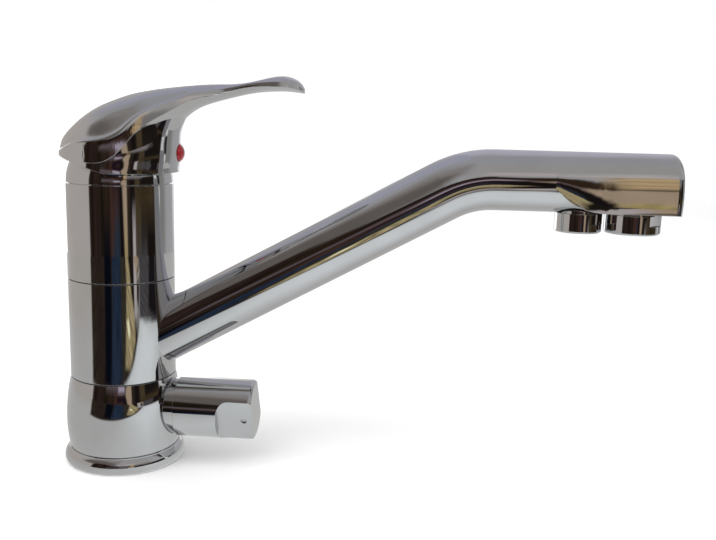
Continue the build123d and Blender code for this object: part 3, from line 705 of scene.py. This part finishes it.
def rectangle(left: float, right: float, low: float, high: float) -> Corners:
    """Gives the corners of an upright rectangle.

    Args:
        left: its first side.
        right: its opposite side.
        low: its lower side.
        high: its upper side.

    Returns:
        The four corners.
    """
    return (left, low), (right, low), (right, high), (left, high)


# The two canvases stand for the surroundings that the chrome mirrors in the photograph, and their
# patches were set from it. Where each part of the chrome mirrors to was traced with the fitted camera,
# and the photograph's colour there was read off. The corners were then typed as soft areas, and
# the colours as rounded values worked out from those readings.

# The room round the tap, in degrees: across is the azimuth from the camera's side towards the spout,
# up the elevation. Pale walls stand at the left and the back, a dark room is behind the camera.
ROOM = Canvas("room", (0.5, 0.5, 0.505), (
    Patch("ceiling", rectangle(-200, 200, 52, 95), (0.44, 0.44, 0.46), 14.0),
    Patch("left_wall", rectangle(-150, -40, -27, 45), (0.575, 0.535, 0.5), 12.0),
    Patch("lilac_ceiling", rectangle(-185, -118, 40, 84), (0.48, 0.48, 0.58), 12.0),
    Patch("lilac_back", rectangle(140, 185, 20, 66), (0.6, 0.59, 0.68), 12.0),
    Patch("ceiling_shade", rectangle(-76, 2, 36, 70), (0.33, 0.305, 0.29), 12.0),
    Patch("front_ceiling", rectangle(5, 66, 16, 62), (0.46, 0.44, 0.43), 8.0),
    Patch("deep_shade", ((-78, 25), (-78, 45), (-62, 54), (-44, 57), (-24, 52), (-8, 46), (-3, 20)),
          (0.17, 0.15, 0.135), 7.0),
    Patch("bright_sill", ((12, 22), (12, 30), (33, 36), (33, 22)), (0.62, 0.57, 0.54), 4.0),
    Patch("window", rectangle(-172, -141, -27, 17), (2.0, 2.0, 2.0), 5.0),
    Patch("far_window", rectangle(164, 182, -6, 12), (1.1, 1.1, 1.12), 5.0),
    Patch("curtain", ((-51, -27), (-51, 26), (-46, 33), (-28, 33), (-17, 24), (-17, -27)),
          (0.05, 0.03, 0.024), 1.5, Streak.UPRIGHT, 0.6),
    Patch("curtain_edge", rectangle(-46.5, -42, -27, 28), (0.016, 0.009, 0.005), 2.0),
    Patch("curtain_fold", rectangle(-27, -16, -27, 24), (0.018, 0.012, 0.008), 3.0),
    Patch("doorway", ((-18, -27), (-18, 26), (-12, 22), (6, 17.5), (15, 15), (19, 11), (19, -27)),
          (0.045, 0.027, 0.018), 1.5, Streak.UPRIGHT, 0.5),
    Patch("maroon_door", rectangle(-5, 13, -13, 13), (0.085, 0.042, 0.034), 4.0, Streak.UPRIGHT, 0.4),
    Patch("black_lintel", rectangle(-10, 14, 13, 17.5), (0.012, 0.008, 0.01), 2.0),
    Patch("faint_line", rectangle(-22, 4, 3.6, 9), (0.15, 0.12, 0.13), 3.0),
    Patch("lilac_line", rectangle(3, 21, 3.4, 6.6), (0.56, 0.5, 0.6), 1.6),
    Patch("black_line", rectangle(0, 19, -3.6, 0.5), (0.012, 0.007, 0.016), 2.0),
    Patch("navy_cloth", ((8, -5.5), (15, -7), (16, -27), (-5, -27), (-3, -10)),
          (0.036, 0.056, 0.085), 2.0, Streak.UPRIGHT, 0.5),
    Patch("bench", rectangle(18.5, 92, -27, 13), (0.045, 0.032, 0.024), 3.0, Streak.UPRIGHT, 0.5),
    Patch("black_stool", rectangle(-20, -7, -27, -6.5), (0.006, 0.006, 0.01), 2.5),
    Patch("olive_cloth", rectangle(47, 58, -27, 12), (0.1, 0.072, 0.04), 2.5, Streak.UPRIGHT, 0.3),
    Patch("wooden_shelf", rectangle(50, 91, -5.8, -2), (0.085, 0.06, 0.03), 2.0, Streak.LEVEL, 0.5),
    Patch("dark_corner", rectangle(58, 92, -1, 12), (0.016, 0.013, 0.011), 2.5, Streak.UPRIGHT, 0.3),
    Patch("shelf_shadow", rectangle(62, 92, -27, -6.4), (0.014, 0.01, 0.008), 1.4),
    Patch("slate_cloth", rectangle(48, 72, -27, -8.6), (0.13, 0.12, 0.12), 2.5, Streak.UPRIGHT, 0.5),
    Patch("black_gap", rectangle(36, 45, -27, 14), (0.012, 0.009, 0.008), 2.2),
    Patch("shaded_ceiling", rectangle(29, 62, 11, 22), (0.27, 0.25, 0.245), 4.0),
    Patch("brown_lintel", ((16, 2), (16, 15), (20, 17.2), (24, 17.2), (24, 8)),
          (0.04, 0.024, 0.015), 1.6),
    Patch("gold_frame", ((23.4, 9.8), (29.5, 9.8), (31, 27), (24, 20.4)),
          (0.74, 0.53, 0.29), 1.5, Streak.LEVEL, 0.4),
    Patch("lilac_post", rectangle(40.5, 46.5, -27, -6), (0.6, 0.54, 0.53), 1.3),
    Patch("frame_gap", ((25.2, 8.9), (31, 8.9), (31, 10.3), (26, 10.1)), (0.04, 0.034, 0.022), 0.9),
    Patch("lens_shade", ((14, -27), (14, -4), (17.4, 0), (20, -2), (23, -7), (24.5, -12), (22, -27)),
          (0.012, 0.009, 0.009), 1.4),
    Patch("beige_door", ((17.8, 3.0), (19.5, 6.0), (23.2, 8.4), (29.5, 8.4), (29.5, -16), (24.9, -16),
                         (22.9, -8.5), (21.2, -5), (19.4, -1.5), (17.8, 1.0)),
          (0.52, 0.395, 0.28), 1.1, Streak.UPRIGHT, 0.15),
    Patch("gold_cloth", ((24.5, -5.6), (27.5, -8), (29, -12), (29, -27), (23.5, -27), (24, -11),
                         (24, -8)), (0.62, 0.48, 0.2), 1.2, Streak.UPRIGHT, 0.5),
    Patch("far_wall", rectangle(99, 124, -27, 34), (0.3, 0.3, 0.29), 8.0),
    Patch("right_post", ((93.5, 30), (93.5, 0), (101, -3), (102, -14), (108, -14), (107, -3), (98.5, 0),
                         (98.5, 30)), (0.88, 0.86, 0.85), 1.4),
    Patch("black_strip", rectangle(101.5, 108, -2.5, 12), (0.02, 0.02, 0.022), 1.6),
))

# The table under the tap, in millimetres. Its pale cloth ends a hand's breadth in front of the tap.
TABLE = Canvas("table", (0.6, 0.595, 0.58), (
    Patch("warm_cloth", ((-260, 240), (-260, -300), (-900, -700), (-900, 400)),
          (0.56, 0.525, 0.485), 130.0),
    Patch("lit_cloth", ((20, -20), (280, 0), (290, -200), (60, -160)), (0.9, 0.94, 0.945), 60.0),
    Patch("dark_floor", ((-118, -100), (-900, -724), (0, -900), (900, -700), (224, -196), (110, -158),
                         (40, -146), (-40, -128)), (0.045, 0.032, 0.024), 7.0, Streak.UPRIGHT, 0.5),
    Patch("brown_floor", ((-100, -128), (-560, -700), (-380, -800), (-72, -165)),
          (0.04, 0.026, 0.02), 14.0, Streak.UPRIGHT, 0.4),
    Patch("black_floor", ((-60, -140), (-290, -800), (-90, -850), (-18, -145)),
          (0.004, 0.005, 0.01), 12.0),
    Patch("navy_floor", ((-24, -142), (-50, -850), (200, -850), (36, -158)),
          (0.03, 0.05, 0.092), 10.0, Streak.UPRIGHT, 0.6),
    Patch("grey_floor", ((40, -160), (200, -850), (280, -800), (110, -185)),
          (0.06, 0.052, 0.038), 12.0, Streak.UPRIGHT, 0.5),
    Patch("gold_floor", ((62, -178), (108, -268), (196, -430), (262, -620), (318, -600), (272, -430),
                         (206, -250), (168, -196), (86, -162)),
          (0.7, 0.57, 0.31), 8.0, Streak.UPRIGHT, 0.7),
    Patch("glint", ((118, -236), (128, -290), (146, -284), (136, -232)), (1.3, 1.25, 0.85), 7.0),
    Patch("pale_lines", ((196, -190), (262, -214), (276, -262), (214, -262)),
          (0.42, 0.4, 0.38), 14.0, Streak.LEVEL, 0.6),
    Patch("lens_floor", ((240, -272), (262, -300), (330, -368), (400, -620), (310, -620), (276, -470),
                         (226, -330)), (0.016, 0.012, 0.009), 8.0),
    Patch("lilac_floor", ((208, -248), (232, -232), (470, -450), (410, -490)), (0.58, 0.52, 0.51), 7.0),
    Patch("slate_floor", ((248, -205), (430, -345), (900, -720), (900, 0), (303, 0), (296, -90)),
          (0.12, 0.11, 0.115), 9.0, Streak.UPRIGHT, 0.6),
    Patch("shelf_floor", ((330, -118), (700, -190), (700, -10), (312, -10)),
          (0.014, 0.011, 0.013), 12.0),
    Patch("beige_floor", ((366, -366), (446, -366), (660, -830), (484, -830)),
          (0.54, 0.405, 0.28), 8.0, Streak.UPRIGHT, 0.2),
    Patch("pale_edge", ((340, -318), (420, -318), (430, -345), (360, -345)), (0.5, 0.44, 0.34), 8.0),
))


@dataclass
class Studio:
    """Floor, backdrop, soft light, painted canvases and the camera."""

    floor_rings: tuple[float, ...] = (0.05, 0.4, 0.8, 1.5)
    floor_columns: int = 96
    floor_drop: float = 0.02 * MM
    floor_dark: Colour = (0.9, 0.9, 0.9)
    floor_light: Colour = (0.92, 0.92, 0.92)
    floor_rough: tuple[float, float] = (0.7, 0.8)
    floor_clouds: float = 3.0
    backdrop_bend: float = 0.6
    backdrop_steps: int = 12
    backdrop_height: float = 1.6
    canvas_step: float = 1.5
    room_distance: float = 2.0
    centre_height: float = 0.09
    room_floor: float = -24.0
    room_top: float = 89.9
    room_streaks: tuple[Scale, Scale] = ((13.0, 13.0, 0.9), (1.5, 1.5, 26.0))
    table_rise: float = 0.3 * MM
    table_inner: float = 0.02
    table_radius: float = 0.62
    table_rings: int = 70
    table_streaks: tuple[Scale, Scale] = ((70.0, 9.0, 1.0), (9.0, 70.0, 1.0))
    sky_strength: float = 1.06
    light_place: tuple[float, float, float] = (-0.5, -0.5, 1.4)
    light_aim: tuple[float, float, float] = (0.08, 0.0, 0.05)
    light_width: float = 1.2
    light_watts: float = 13.0
    lens: float = 41.62
    sensor_width: float = 36.0
    clip_start: float = 0.01
    camera_place: tuple[float, float, float] = (0.109906, -0.378873, 0.162545)
    camera_down: float = 10.343
    camera_roll: float = 1.66

    def paint_material(self, name: str, upright: Scale, level: Scale) -> bpy.types.Material:
        """Makes a canvas glow with its own painted colours and streaks.

        Args:
            name: the material's name.
            upright: the noise's scale on each axis for the upright streaks.
            level: the same for the level streaks.

        Returns:
            The material.
        """
        material = bpy.data.materials.new(name)
        material.use_nodes = True
        sheet = NodeSheet(material.node_tree)
        where = sheet.add("ShaderNodeTexCoord").outputs["Object"]
        paint = sheet.add("ShaderNodeAttribute", attribute_name="paint")
        streaks = sheet.add("ShaderNodeAttribute", attribute_name="streaks")
        split = sheet.add("ShaderNodeSeparateColor")
        sheet.set(split, Color=streaks.outputs["Color"])
        shades = []
        for scale, depth in ((upright, split.outputs["Red"]), (level, split.outputs["Green"])):
            lines = sheet.spread(sheet.noise(sheet.stretched(where, scale), 1.0), 0.0, 1.0)
            shades.append(sheet.maths("SUBTRACT", 1.0, sheet.maths("MULTIPLY", lines, depth)))
        glow = sheet.add("ShaderNodeEmission")
        sheet.set(glow, Color=paint.outputs["Color"], Strength=sheet.maths("MULTIPLY", *shades))
        sheet.set(sheet.add("ShaderNodeOutputMaterial"), Surface=glow.outputs["Emission"])
        return material

    def show_to_metal_only(self, card: bpy.types.Object) -> None:
        """Hides a canvas from everything but reflections.

        Args:
            card: the canvas.
        """
        card.visible_camera = False
        card.visible_diffuse = False
        card.visible_transmission = False
        card.visible_volume_scatter = False
        card.visible_shadow = False

    def grid(self, name: str, points: list[list[Vector]], paints: list[list[Paint]],
             material: bpy.types.Material) -> None:
        """Builds a painted grid that closes on itself from column to column.

        Args:
            name: the object's name.
            points: its vertices, row by row.
            paints: what each vertex is painted with.
            material: its material.
        """
        columns = len(points[0])
        faces = []
        for row in range(len(points) - 1):
            for column in range(columns):
                after = (column + 1) % columns
                faces.append((row * columns + column, row * columns + after,
                              (row + 1) * columns + after, (row + 1) * columns + column))
        mesh = bpy.data.meshes.new(name)
        mesh.from_pydata([point for row in points for point in row], [], faces)
        mesh.materials.append(material)
        flat = [paint for row in paints for paint in row]
        for label, values in (("paint", [(*colour, 1.0) for colour, _, _ in flat]),
                              ("streaks", [(upright, level, 0.0, 1.0) for _, upright, level in flat])):
            attribute = mesh.attributes.new(label, "FLOAT_COLOR", "POINT")
            attribute.data.foreach_set("color", [part for value in values for part in value])
        made = bpy.data.objects.new(name, mesh)
        bpy.context.scene.collection.objects.link(made)
        self.show_to_metal_only(made)

    def room(self) -> None:
        """Builds the painted room as a dome round the tap."""
        columns = round(360 / self.canvas_step)
        rows = round((self.room_top - self.room_floor) / self.canvas_step)
        centre = Vector((0, 0, self.centre_height))
        points, paints = [], []
        for row in range(rows + 1):
            elevation = self.room_floor + (self.room_top - self.room_floor) * row / rows
            rise = math.radians(elevation)
            ring, paint = [], []
            for column in range(columns):
                azimuth = -180 + column * self.canvas_step
                turn = math.radians(azimuth)
                way = Vector((math.sin(turn) * math.cos(rise), -math.cos(turn) * math.cos(rise),
                              math.sin(rise)))
                ring.append(centre + self.room_distance * way)
                paint.append(ROOM.paint(azimuth, elevation))
            points.append(ring)
            paints.append(paint)
        material = self.paint_material("room_paint", *self.room_streaks)
        self.grid(ROOM.name, points, paints, material)

    def table(self) -> None:
        """Builds the painted table top as rings that grow wider outwards."""
        columns = round(360 / self.canvas_step)
        growth = (self.table_radius / self.table_inner) ** (1 / (self.table_rings - 1))
        points, paints = [], []
        for row in range(self.table_rings):
            radius = self.table_inner * growth**row
            ring, paint = [], []
            for column in range(columns):
                turn = math.radians(column * self.canvas_step)
                x, y = radius * math.cos(turn), radius * math.sin(turn)
                ring.append(Vector((x, y, self.table_rise)))
                paint.append(TABLE.paint(x / MM, y / MM))
            points.append(ring)
            paints.append(paint)
        material = self.paint_material("table_paint", *self.table_streaks)
        self.grid(TABLE.name, points, paints, material)

    def floor(self) -> None:
        """Builds the pale floor, which bends up into a backdrop all round."""
        material, sheet, shader, where = new_material("pale_floor")
        cloud = sheet.noise(where, self.floor_clouds, detail=4.0)
        colour = sheet.blend(sheet.spread(cloud, 0.0, 1.0), self.floor_dark, self.floor_light)
        sheet.set(shader, Base_Color=colour, Roughness=sheet.spread(cloud, *self.floor_rough),
                  Specular_IOR_Level=0.1)
        edge = self.floor_rings[-1]
        profile = [(radius, 0.0) for radius in self.floor_rings]
        for step in range(1, self.backdrop_steps + 1):
            turn = math.pi / 2 * step / self.backdrop_steps
            profile.append((edge + self.backdrop_bend * math.sin(turn),
                            self.backdrop_bend * (1 - math.cos(turn))))
        profile.append((edge + self.backdrop_bend, self.backdrop_height))
        columns = self.floor_columns
        points = [Vector((0.0, 0.0, -self.floor_drop))]
        for radius, height in profile:
            for column in range(columns):
                turn = 2 * math.pi * column / columns
                points.append(Vector((radius * math.cos(turn), radius * math.sin(turn),
                                      height - self.floor_drop)))
        faces: list[tuple[int, ...]] = [(0, 1 + c, 1 + (c + 1) % columns) for c in range(columns)]
        for row in range(len(profile) - 1):
            for column in range(columns):
                after = (column + 1) % columns
                low, high = 1 + row * columns, 1 + (row + 1) * columns
                faces.append((low + column, high + column, high + after, low + after))
        mesh = bpy.data.meshes.new("floor")
        mesh.from_pydata(points, [], faces)
        mesh.materials.append(material)
        mesh.shade_smooth()
        made = bpy.data.objects.new("floor", mesh)
        made.visible_glossy = False
        bpy.context.scene.collection.objects.link(made)

    def sky(self, strength: float) -> None:
        """Sets the even soft light that comes from all round.

        Args:
            strength: its brightness.
        """
        world = bpy.data.worlds.new("soft_room")
        world.use_nodes = True
        sheet = NodeSheet(world.node_tree)
        back = sheet.add("ShaderNodeBackground")
        sheet.set(back, Color=(1.0, 1.0, 1.0, 1.0), Strength=strength)
        sheet.set(sheet.add("ShaderNodeOutputWorld"), Surface=back.outputs["Background"])
        bpy.context.scene.world = world

    def soft_light(self, name: str, place: Vector, aim: Vector, width: float, watts: float) -> None:
        """Adds a large square light.

        Args:
            name: its name.
            place: where it hangs.
            aim: where it points.
            width: its side.
            watts: its power.
        """
        data = bpy.data.lights.new(name, "AREA")
        data.shape = "SQUARE"
        data.size = width
        data.energy = watts
        light = bpy.data.objects.new(name, data)
        light.location = place
        light.rotation_euler = (aim - place).to_track_quat("-Z", "Y").to_euler()
        light.visible_glossy = False
        bpy.context.scene.collection.objects.link(light)

    def camera(self) -> None:
        """Sets the camera at the photograph's place."""
        data = bpy.data.cameras.new("photo_camera")
        data.lens = self.lens
        data.sensor_width = self.sensor_width
        data.clip_start = self.clip_start
        camera = bpy.data.objects.new("photo_camera", data)
        down, roll = math.radians(self.camera_down), math.radians(self.camera_roll)
        right = Vector((1.0, 0.0, 0.0))
        ahead = Vector((0.0, math.cos(down), -math.sin(down)))
        up = Vector((0.0, math.sin(down), math.cos(down)))
        x_axis = math.cos(roll) * right + math.sin(roll) * up
        y_axis = math.cos(roll) * up - math.sin(roll) * right
        turn = Matrix((x_axis, y_axis, -ahead)).transposed().to_4x4()
        camera.matrix_world = Matrix.Translation(self.camera_place) @ turn
        bpy.context.scene.collection.objects.link(camera)
        bpy.context.scene.camera = camera

    def build(self) -> None:
        """Builds the whole studio."""
        self.sky(self.sky_strength)
        self.floor()
        self.room()
        self.table()
        self.soft_light("key_light", Vector(self.light_place), Vector(self.light_aim),
                        self.light_width, self.light_watts)
        self.camera()
        view = bpy.context.scene.view_settings
        view.view_transform = "Standard"
        view.look = "None"
        log.info("studio: %d room patches, %d table patches", len(ROOM.patches), len(TABLE.patches))


# ---------------------------------------------------------------- the tap


@dataclass
class SubAssembly:
    """A group of the tap's pieces. Each kind names its CAD nodes' finishes and adds finer pieces."""

    shelf: FinishShelf

    def finishes(self) -> dict[str, Finish]:
        """Returns the finish of each CAD node."""
        return {}

    def add_pieces(self) -> None:
        """Makes the finer pieces that the CAD model leaves out."""

    def add(self, pattern: Pattern, name: str, body: Body, finish: Finish, places: Sequence[Vector],
            **sizes: float) -> bpy.types.Object:
        """Makes a piece from a pattern, dresses it and lets it ride.

        Args:
            pattern: the pattern.
            name: the piece's name.
            body: the body that carries it.
            finish: its finish.
            places: the points that the pattern starts from.
            **sizes: the pattern's inputs.

        Returns:
            The piece.
        """
        piece = pattern.make(name, places, self.shelf.take(finish), **sizes)
        self.shelf.dress(piece, finish)
        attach(piece, body.value)
        log.info("%s rides on %s: %d faces", name, body.value, len(piece.data.polygons))
        return piece

    def build(self) -> None:
        """Dresses the CAD nodes and makes the finer pieces."""
        for name, finish in self.finishes().items():
            self.shelf.dress(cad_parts[name], finish)
            log.info("%s: %s", name, finish.name.lower())
        self.add_pieces()


@dataclass
class Foot(SubAssembly):
    """The flange and the lower body, with the threads of its inlets and fixing stud underneath."""

    threads_start: float = 1.7 * MM
    tooth_to_pitch: float = 0.46
    inlet_radius: float = 5.0 * MM
    inlet_pitch: float = 1.0 * MM
    inlet_turns: float = 7.6
    stud_radius: float = 4.0 * MM
    stud_pitch: float = 1.25 * MM
    stud_turns: float = 6.6
    hot_inlet: tuple[float, float] = (-1.5 * MM, -12.0 * MM)
    cold_inlet: tuple[float, float] = (-1.5 * MM, 12.0 * MM)
    filtered_inlet: tuple[float, float] = (10.5 * MM, 0.0)
    stud_hole: tuple[float, float] = (-13.0 * MM, 0.0)

    def finishes(self) -> dict[str, Finish]:
        """Returns the finish of each CAD node."""
        return {"base_ring": Finish.TURNED_CHROME, "base_gasket": Finish.RUBBER,
                "lower_body": Finish.TURNED_CHROME, "lower_slip_ring": Finish.SLIP_RING}

    def thread(self, pattern: Pattern, name: str, at: tuple[float, float], radius: float,
               pitch: float, turns: float) -> None:
        """Cuts one inside thread, as a ridge that stands in from the bore's wall.

        Args:
            pattern: the thread's pattern.
            name: the piece's name.
            at: the bore's axis.
            radius: the bore's radius.
            pitch: the thread's pitch.
            turns: how many turns it has.
        """
        self.add(pattern, name, Body.TAP, Finish.BRASS, [Vector((*at, self.threads_start))],
                 Radius=radius, Tooth=self.tooth_to_pitch * pitch, Length=turns * pitch, Turns=turns,
                 Steps=40)

    def add_pieces(self) -> None:
        """Threads the three inlets and the stud hole."""
        pattern = thread_pattern()
        for name, at in (("hot_inlet_thread", self.hot_inlet), ("cold_inlet_thread", self.cold_inlet),
                         ("filtered_inlet_thread", self.filtered_inlet)):
            self.thread(pattern, name, at, self.inlet_radius, self.inlet_pitch, self.inlet_turns)
        self.thread(pattern, "stud_hole_thread", self.stud_hole, self.stud_radius, self.stud_pitch,
                    self.stud_turns)


@dataclass
class Column(SubAssembly):
    """The swivel column: O-rings, upper sleeve and slip ring, cartridge housing, nut and dome ring."""

    ring_radius: float = 16.2 * MM
    ring_cord: float = 0.75 * MM
    ring_heights: tuple[float, float, float] = (46.45 * MM, 67.15 * MM, 80.675 * MM)

    def finishes(self) -> dict[str, Finish]:
        """Returns the finish of each CAD node."""
        return {"upper_slip_ring": Finish.SLIP_RING, "column_o_rings": Finish.RUBBER,
                "upper_sleeve": Finish.TURNED_CHROME, "cartridge_housing": Finish.BRASS,
                "cartridge_nut": Finish.BRASS, "dome_ring": Finish.TURNED_CHROME}

    def add_pieces(self) -> None:
        """Lays the three O-rings in their grooves."""
        rings = self.add(ring_pattern(), "column_ring_set", Body.TAP, Finish.RUBBER,
                         [Vector((0, 0, height)) for height in self.ring_heights],
                         Radius=self.ring_radius, Cord=self.ring_cord, Steps=120)
        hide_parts("column_o_rings")


@dataclass
class Cartridge(SubAssembly):
    """The ceramic cartridge, which mixes hot and cold water."""

    def finishes(self) -> dict[str, Finish]:
        """Returns the finish of each CAD node."""
        return {"cartridge_base": Finish.CARTRIDGE, "cartridge_seals": Finish.RUBBER,
                "fixed_ceramic_disc": Finish.CERAMIC, "moving_ceramic_disc": Finish.CERAMIC,
                "disc_carrier": Finish.CARTRIDGE, "cartridge_casing": Finish.CARTRIDGE,
                "cartridge_rotor": Finish.CARTRIDGE, "cartridge_pin": Finish.STEEL}


@dataclass
class Lever(SubAssembly):
    """The hood with its lever, its screw and the red button that covers it."""

    def finishes(self) -> dict[str, Finish]:
        """Returns the finish of each CAD node."""
        return {"cartridge_stem": Finish.STEEL, "handle": Finish.CAST_CHROME,
                "handle_grub_screw": Finish.STEEL, "index_button": Finish.INDEX_RED}


@dataclass
class FilterValve(SubAssembly):
    """The side knob and the valve behind it, for filtered water."""

    def finishes(self) -> dict[str, Finish]:
        """Returns the finish of each CAD node."""
        return {"filter_valve_seal": Finish.RUBBER, "filter_fixed_disc": Finish.CERAMIC,
                "filter_turning_disc": Finish.CERAMIC, "filter_headwork": Finish.BRASS,
                "filter_spindle_o_ring": Finish.RUBBER, "filter_spindle": Finish.BRASS,
                "filter_cover_ring": Finish.TURNED_CHROME, "filter_knob": Finish.TURNED_CHROME,
                "filter_knob_screw": Finish.STEEL}


@dataclass
class Spout(SubAssembly):
    """The swivel spout and its two outlets, each with a wire strainer under its pierced insert."""

    strainer_level: float = 115.25 * MM
    wire: float = 0.11 * MM
    rim_inset: float = 2.2
    main_outlet: float = 235.092 * MM
    main_mouth: float = 9.4 * MM
    main_wires: int = 17
    filter_outlet: float = 210.192 * MM
    filter_mouth: float = 6.7 * MM
    filter_wires: int = 13

    def finishes(self) -> dict[str, Finish]:
        """Names the finishes, which are the same for both outlets.

        Returns:
            The finish of each CAD node.
        """
        named = {"spout_casting": Finish.CAST_CHROME, "filtered_water_tube": Finish.TUBE,
                 "filter_outlet_adapter": Finish.BRASS}
        for outlet in ("main_outlet", "filter_outlet"):
            named[f"{outlet}_housing"] = Finish.TURNED_CHROME
            named[f"{outlet}_insert"] = Finish.INSERT
            named[f"{outlet}_washer"] = Finish.RUBBER
        return named

    def add_pieces(self) -> None:
        """Sets a strainer in each outlet's mouth."""
        pattern = wire_pattern()
        for name, at, mouth, wires in (
                ("main_outlet_strainer", self.main_outlet, self.main_mouth, self.main_wires),
                ("filter_outlet_strainer", self.filter_outlet, self.filter_mouth, self.filter_wires)):
            self.add(pattern, name, Body.SPOUT, Finish.STEEL, [Vector((at, 0.0, self.strainer_level))],
                     Radius=mouth - self.rim_inset * self.wire, Wire=self.wire, Wires=wires)


def main() -> None:
    """Builds the tap's looks and its studio."""
    logging.basicConfig(level=logging.INFO, format="%(name)s %(message)s")
    shelf = FinishShelf()
    for kind in (Foot, Column, Cartridge, Lever, FilterValve, Spout):
        kind(shelf).build()
    Studio().build()


if __name__ == "__main__":
    main()
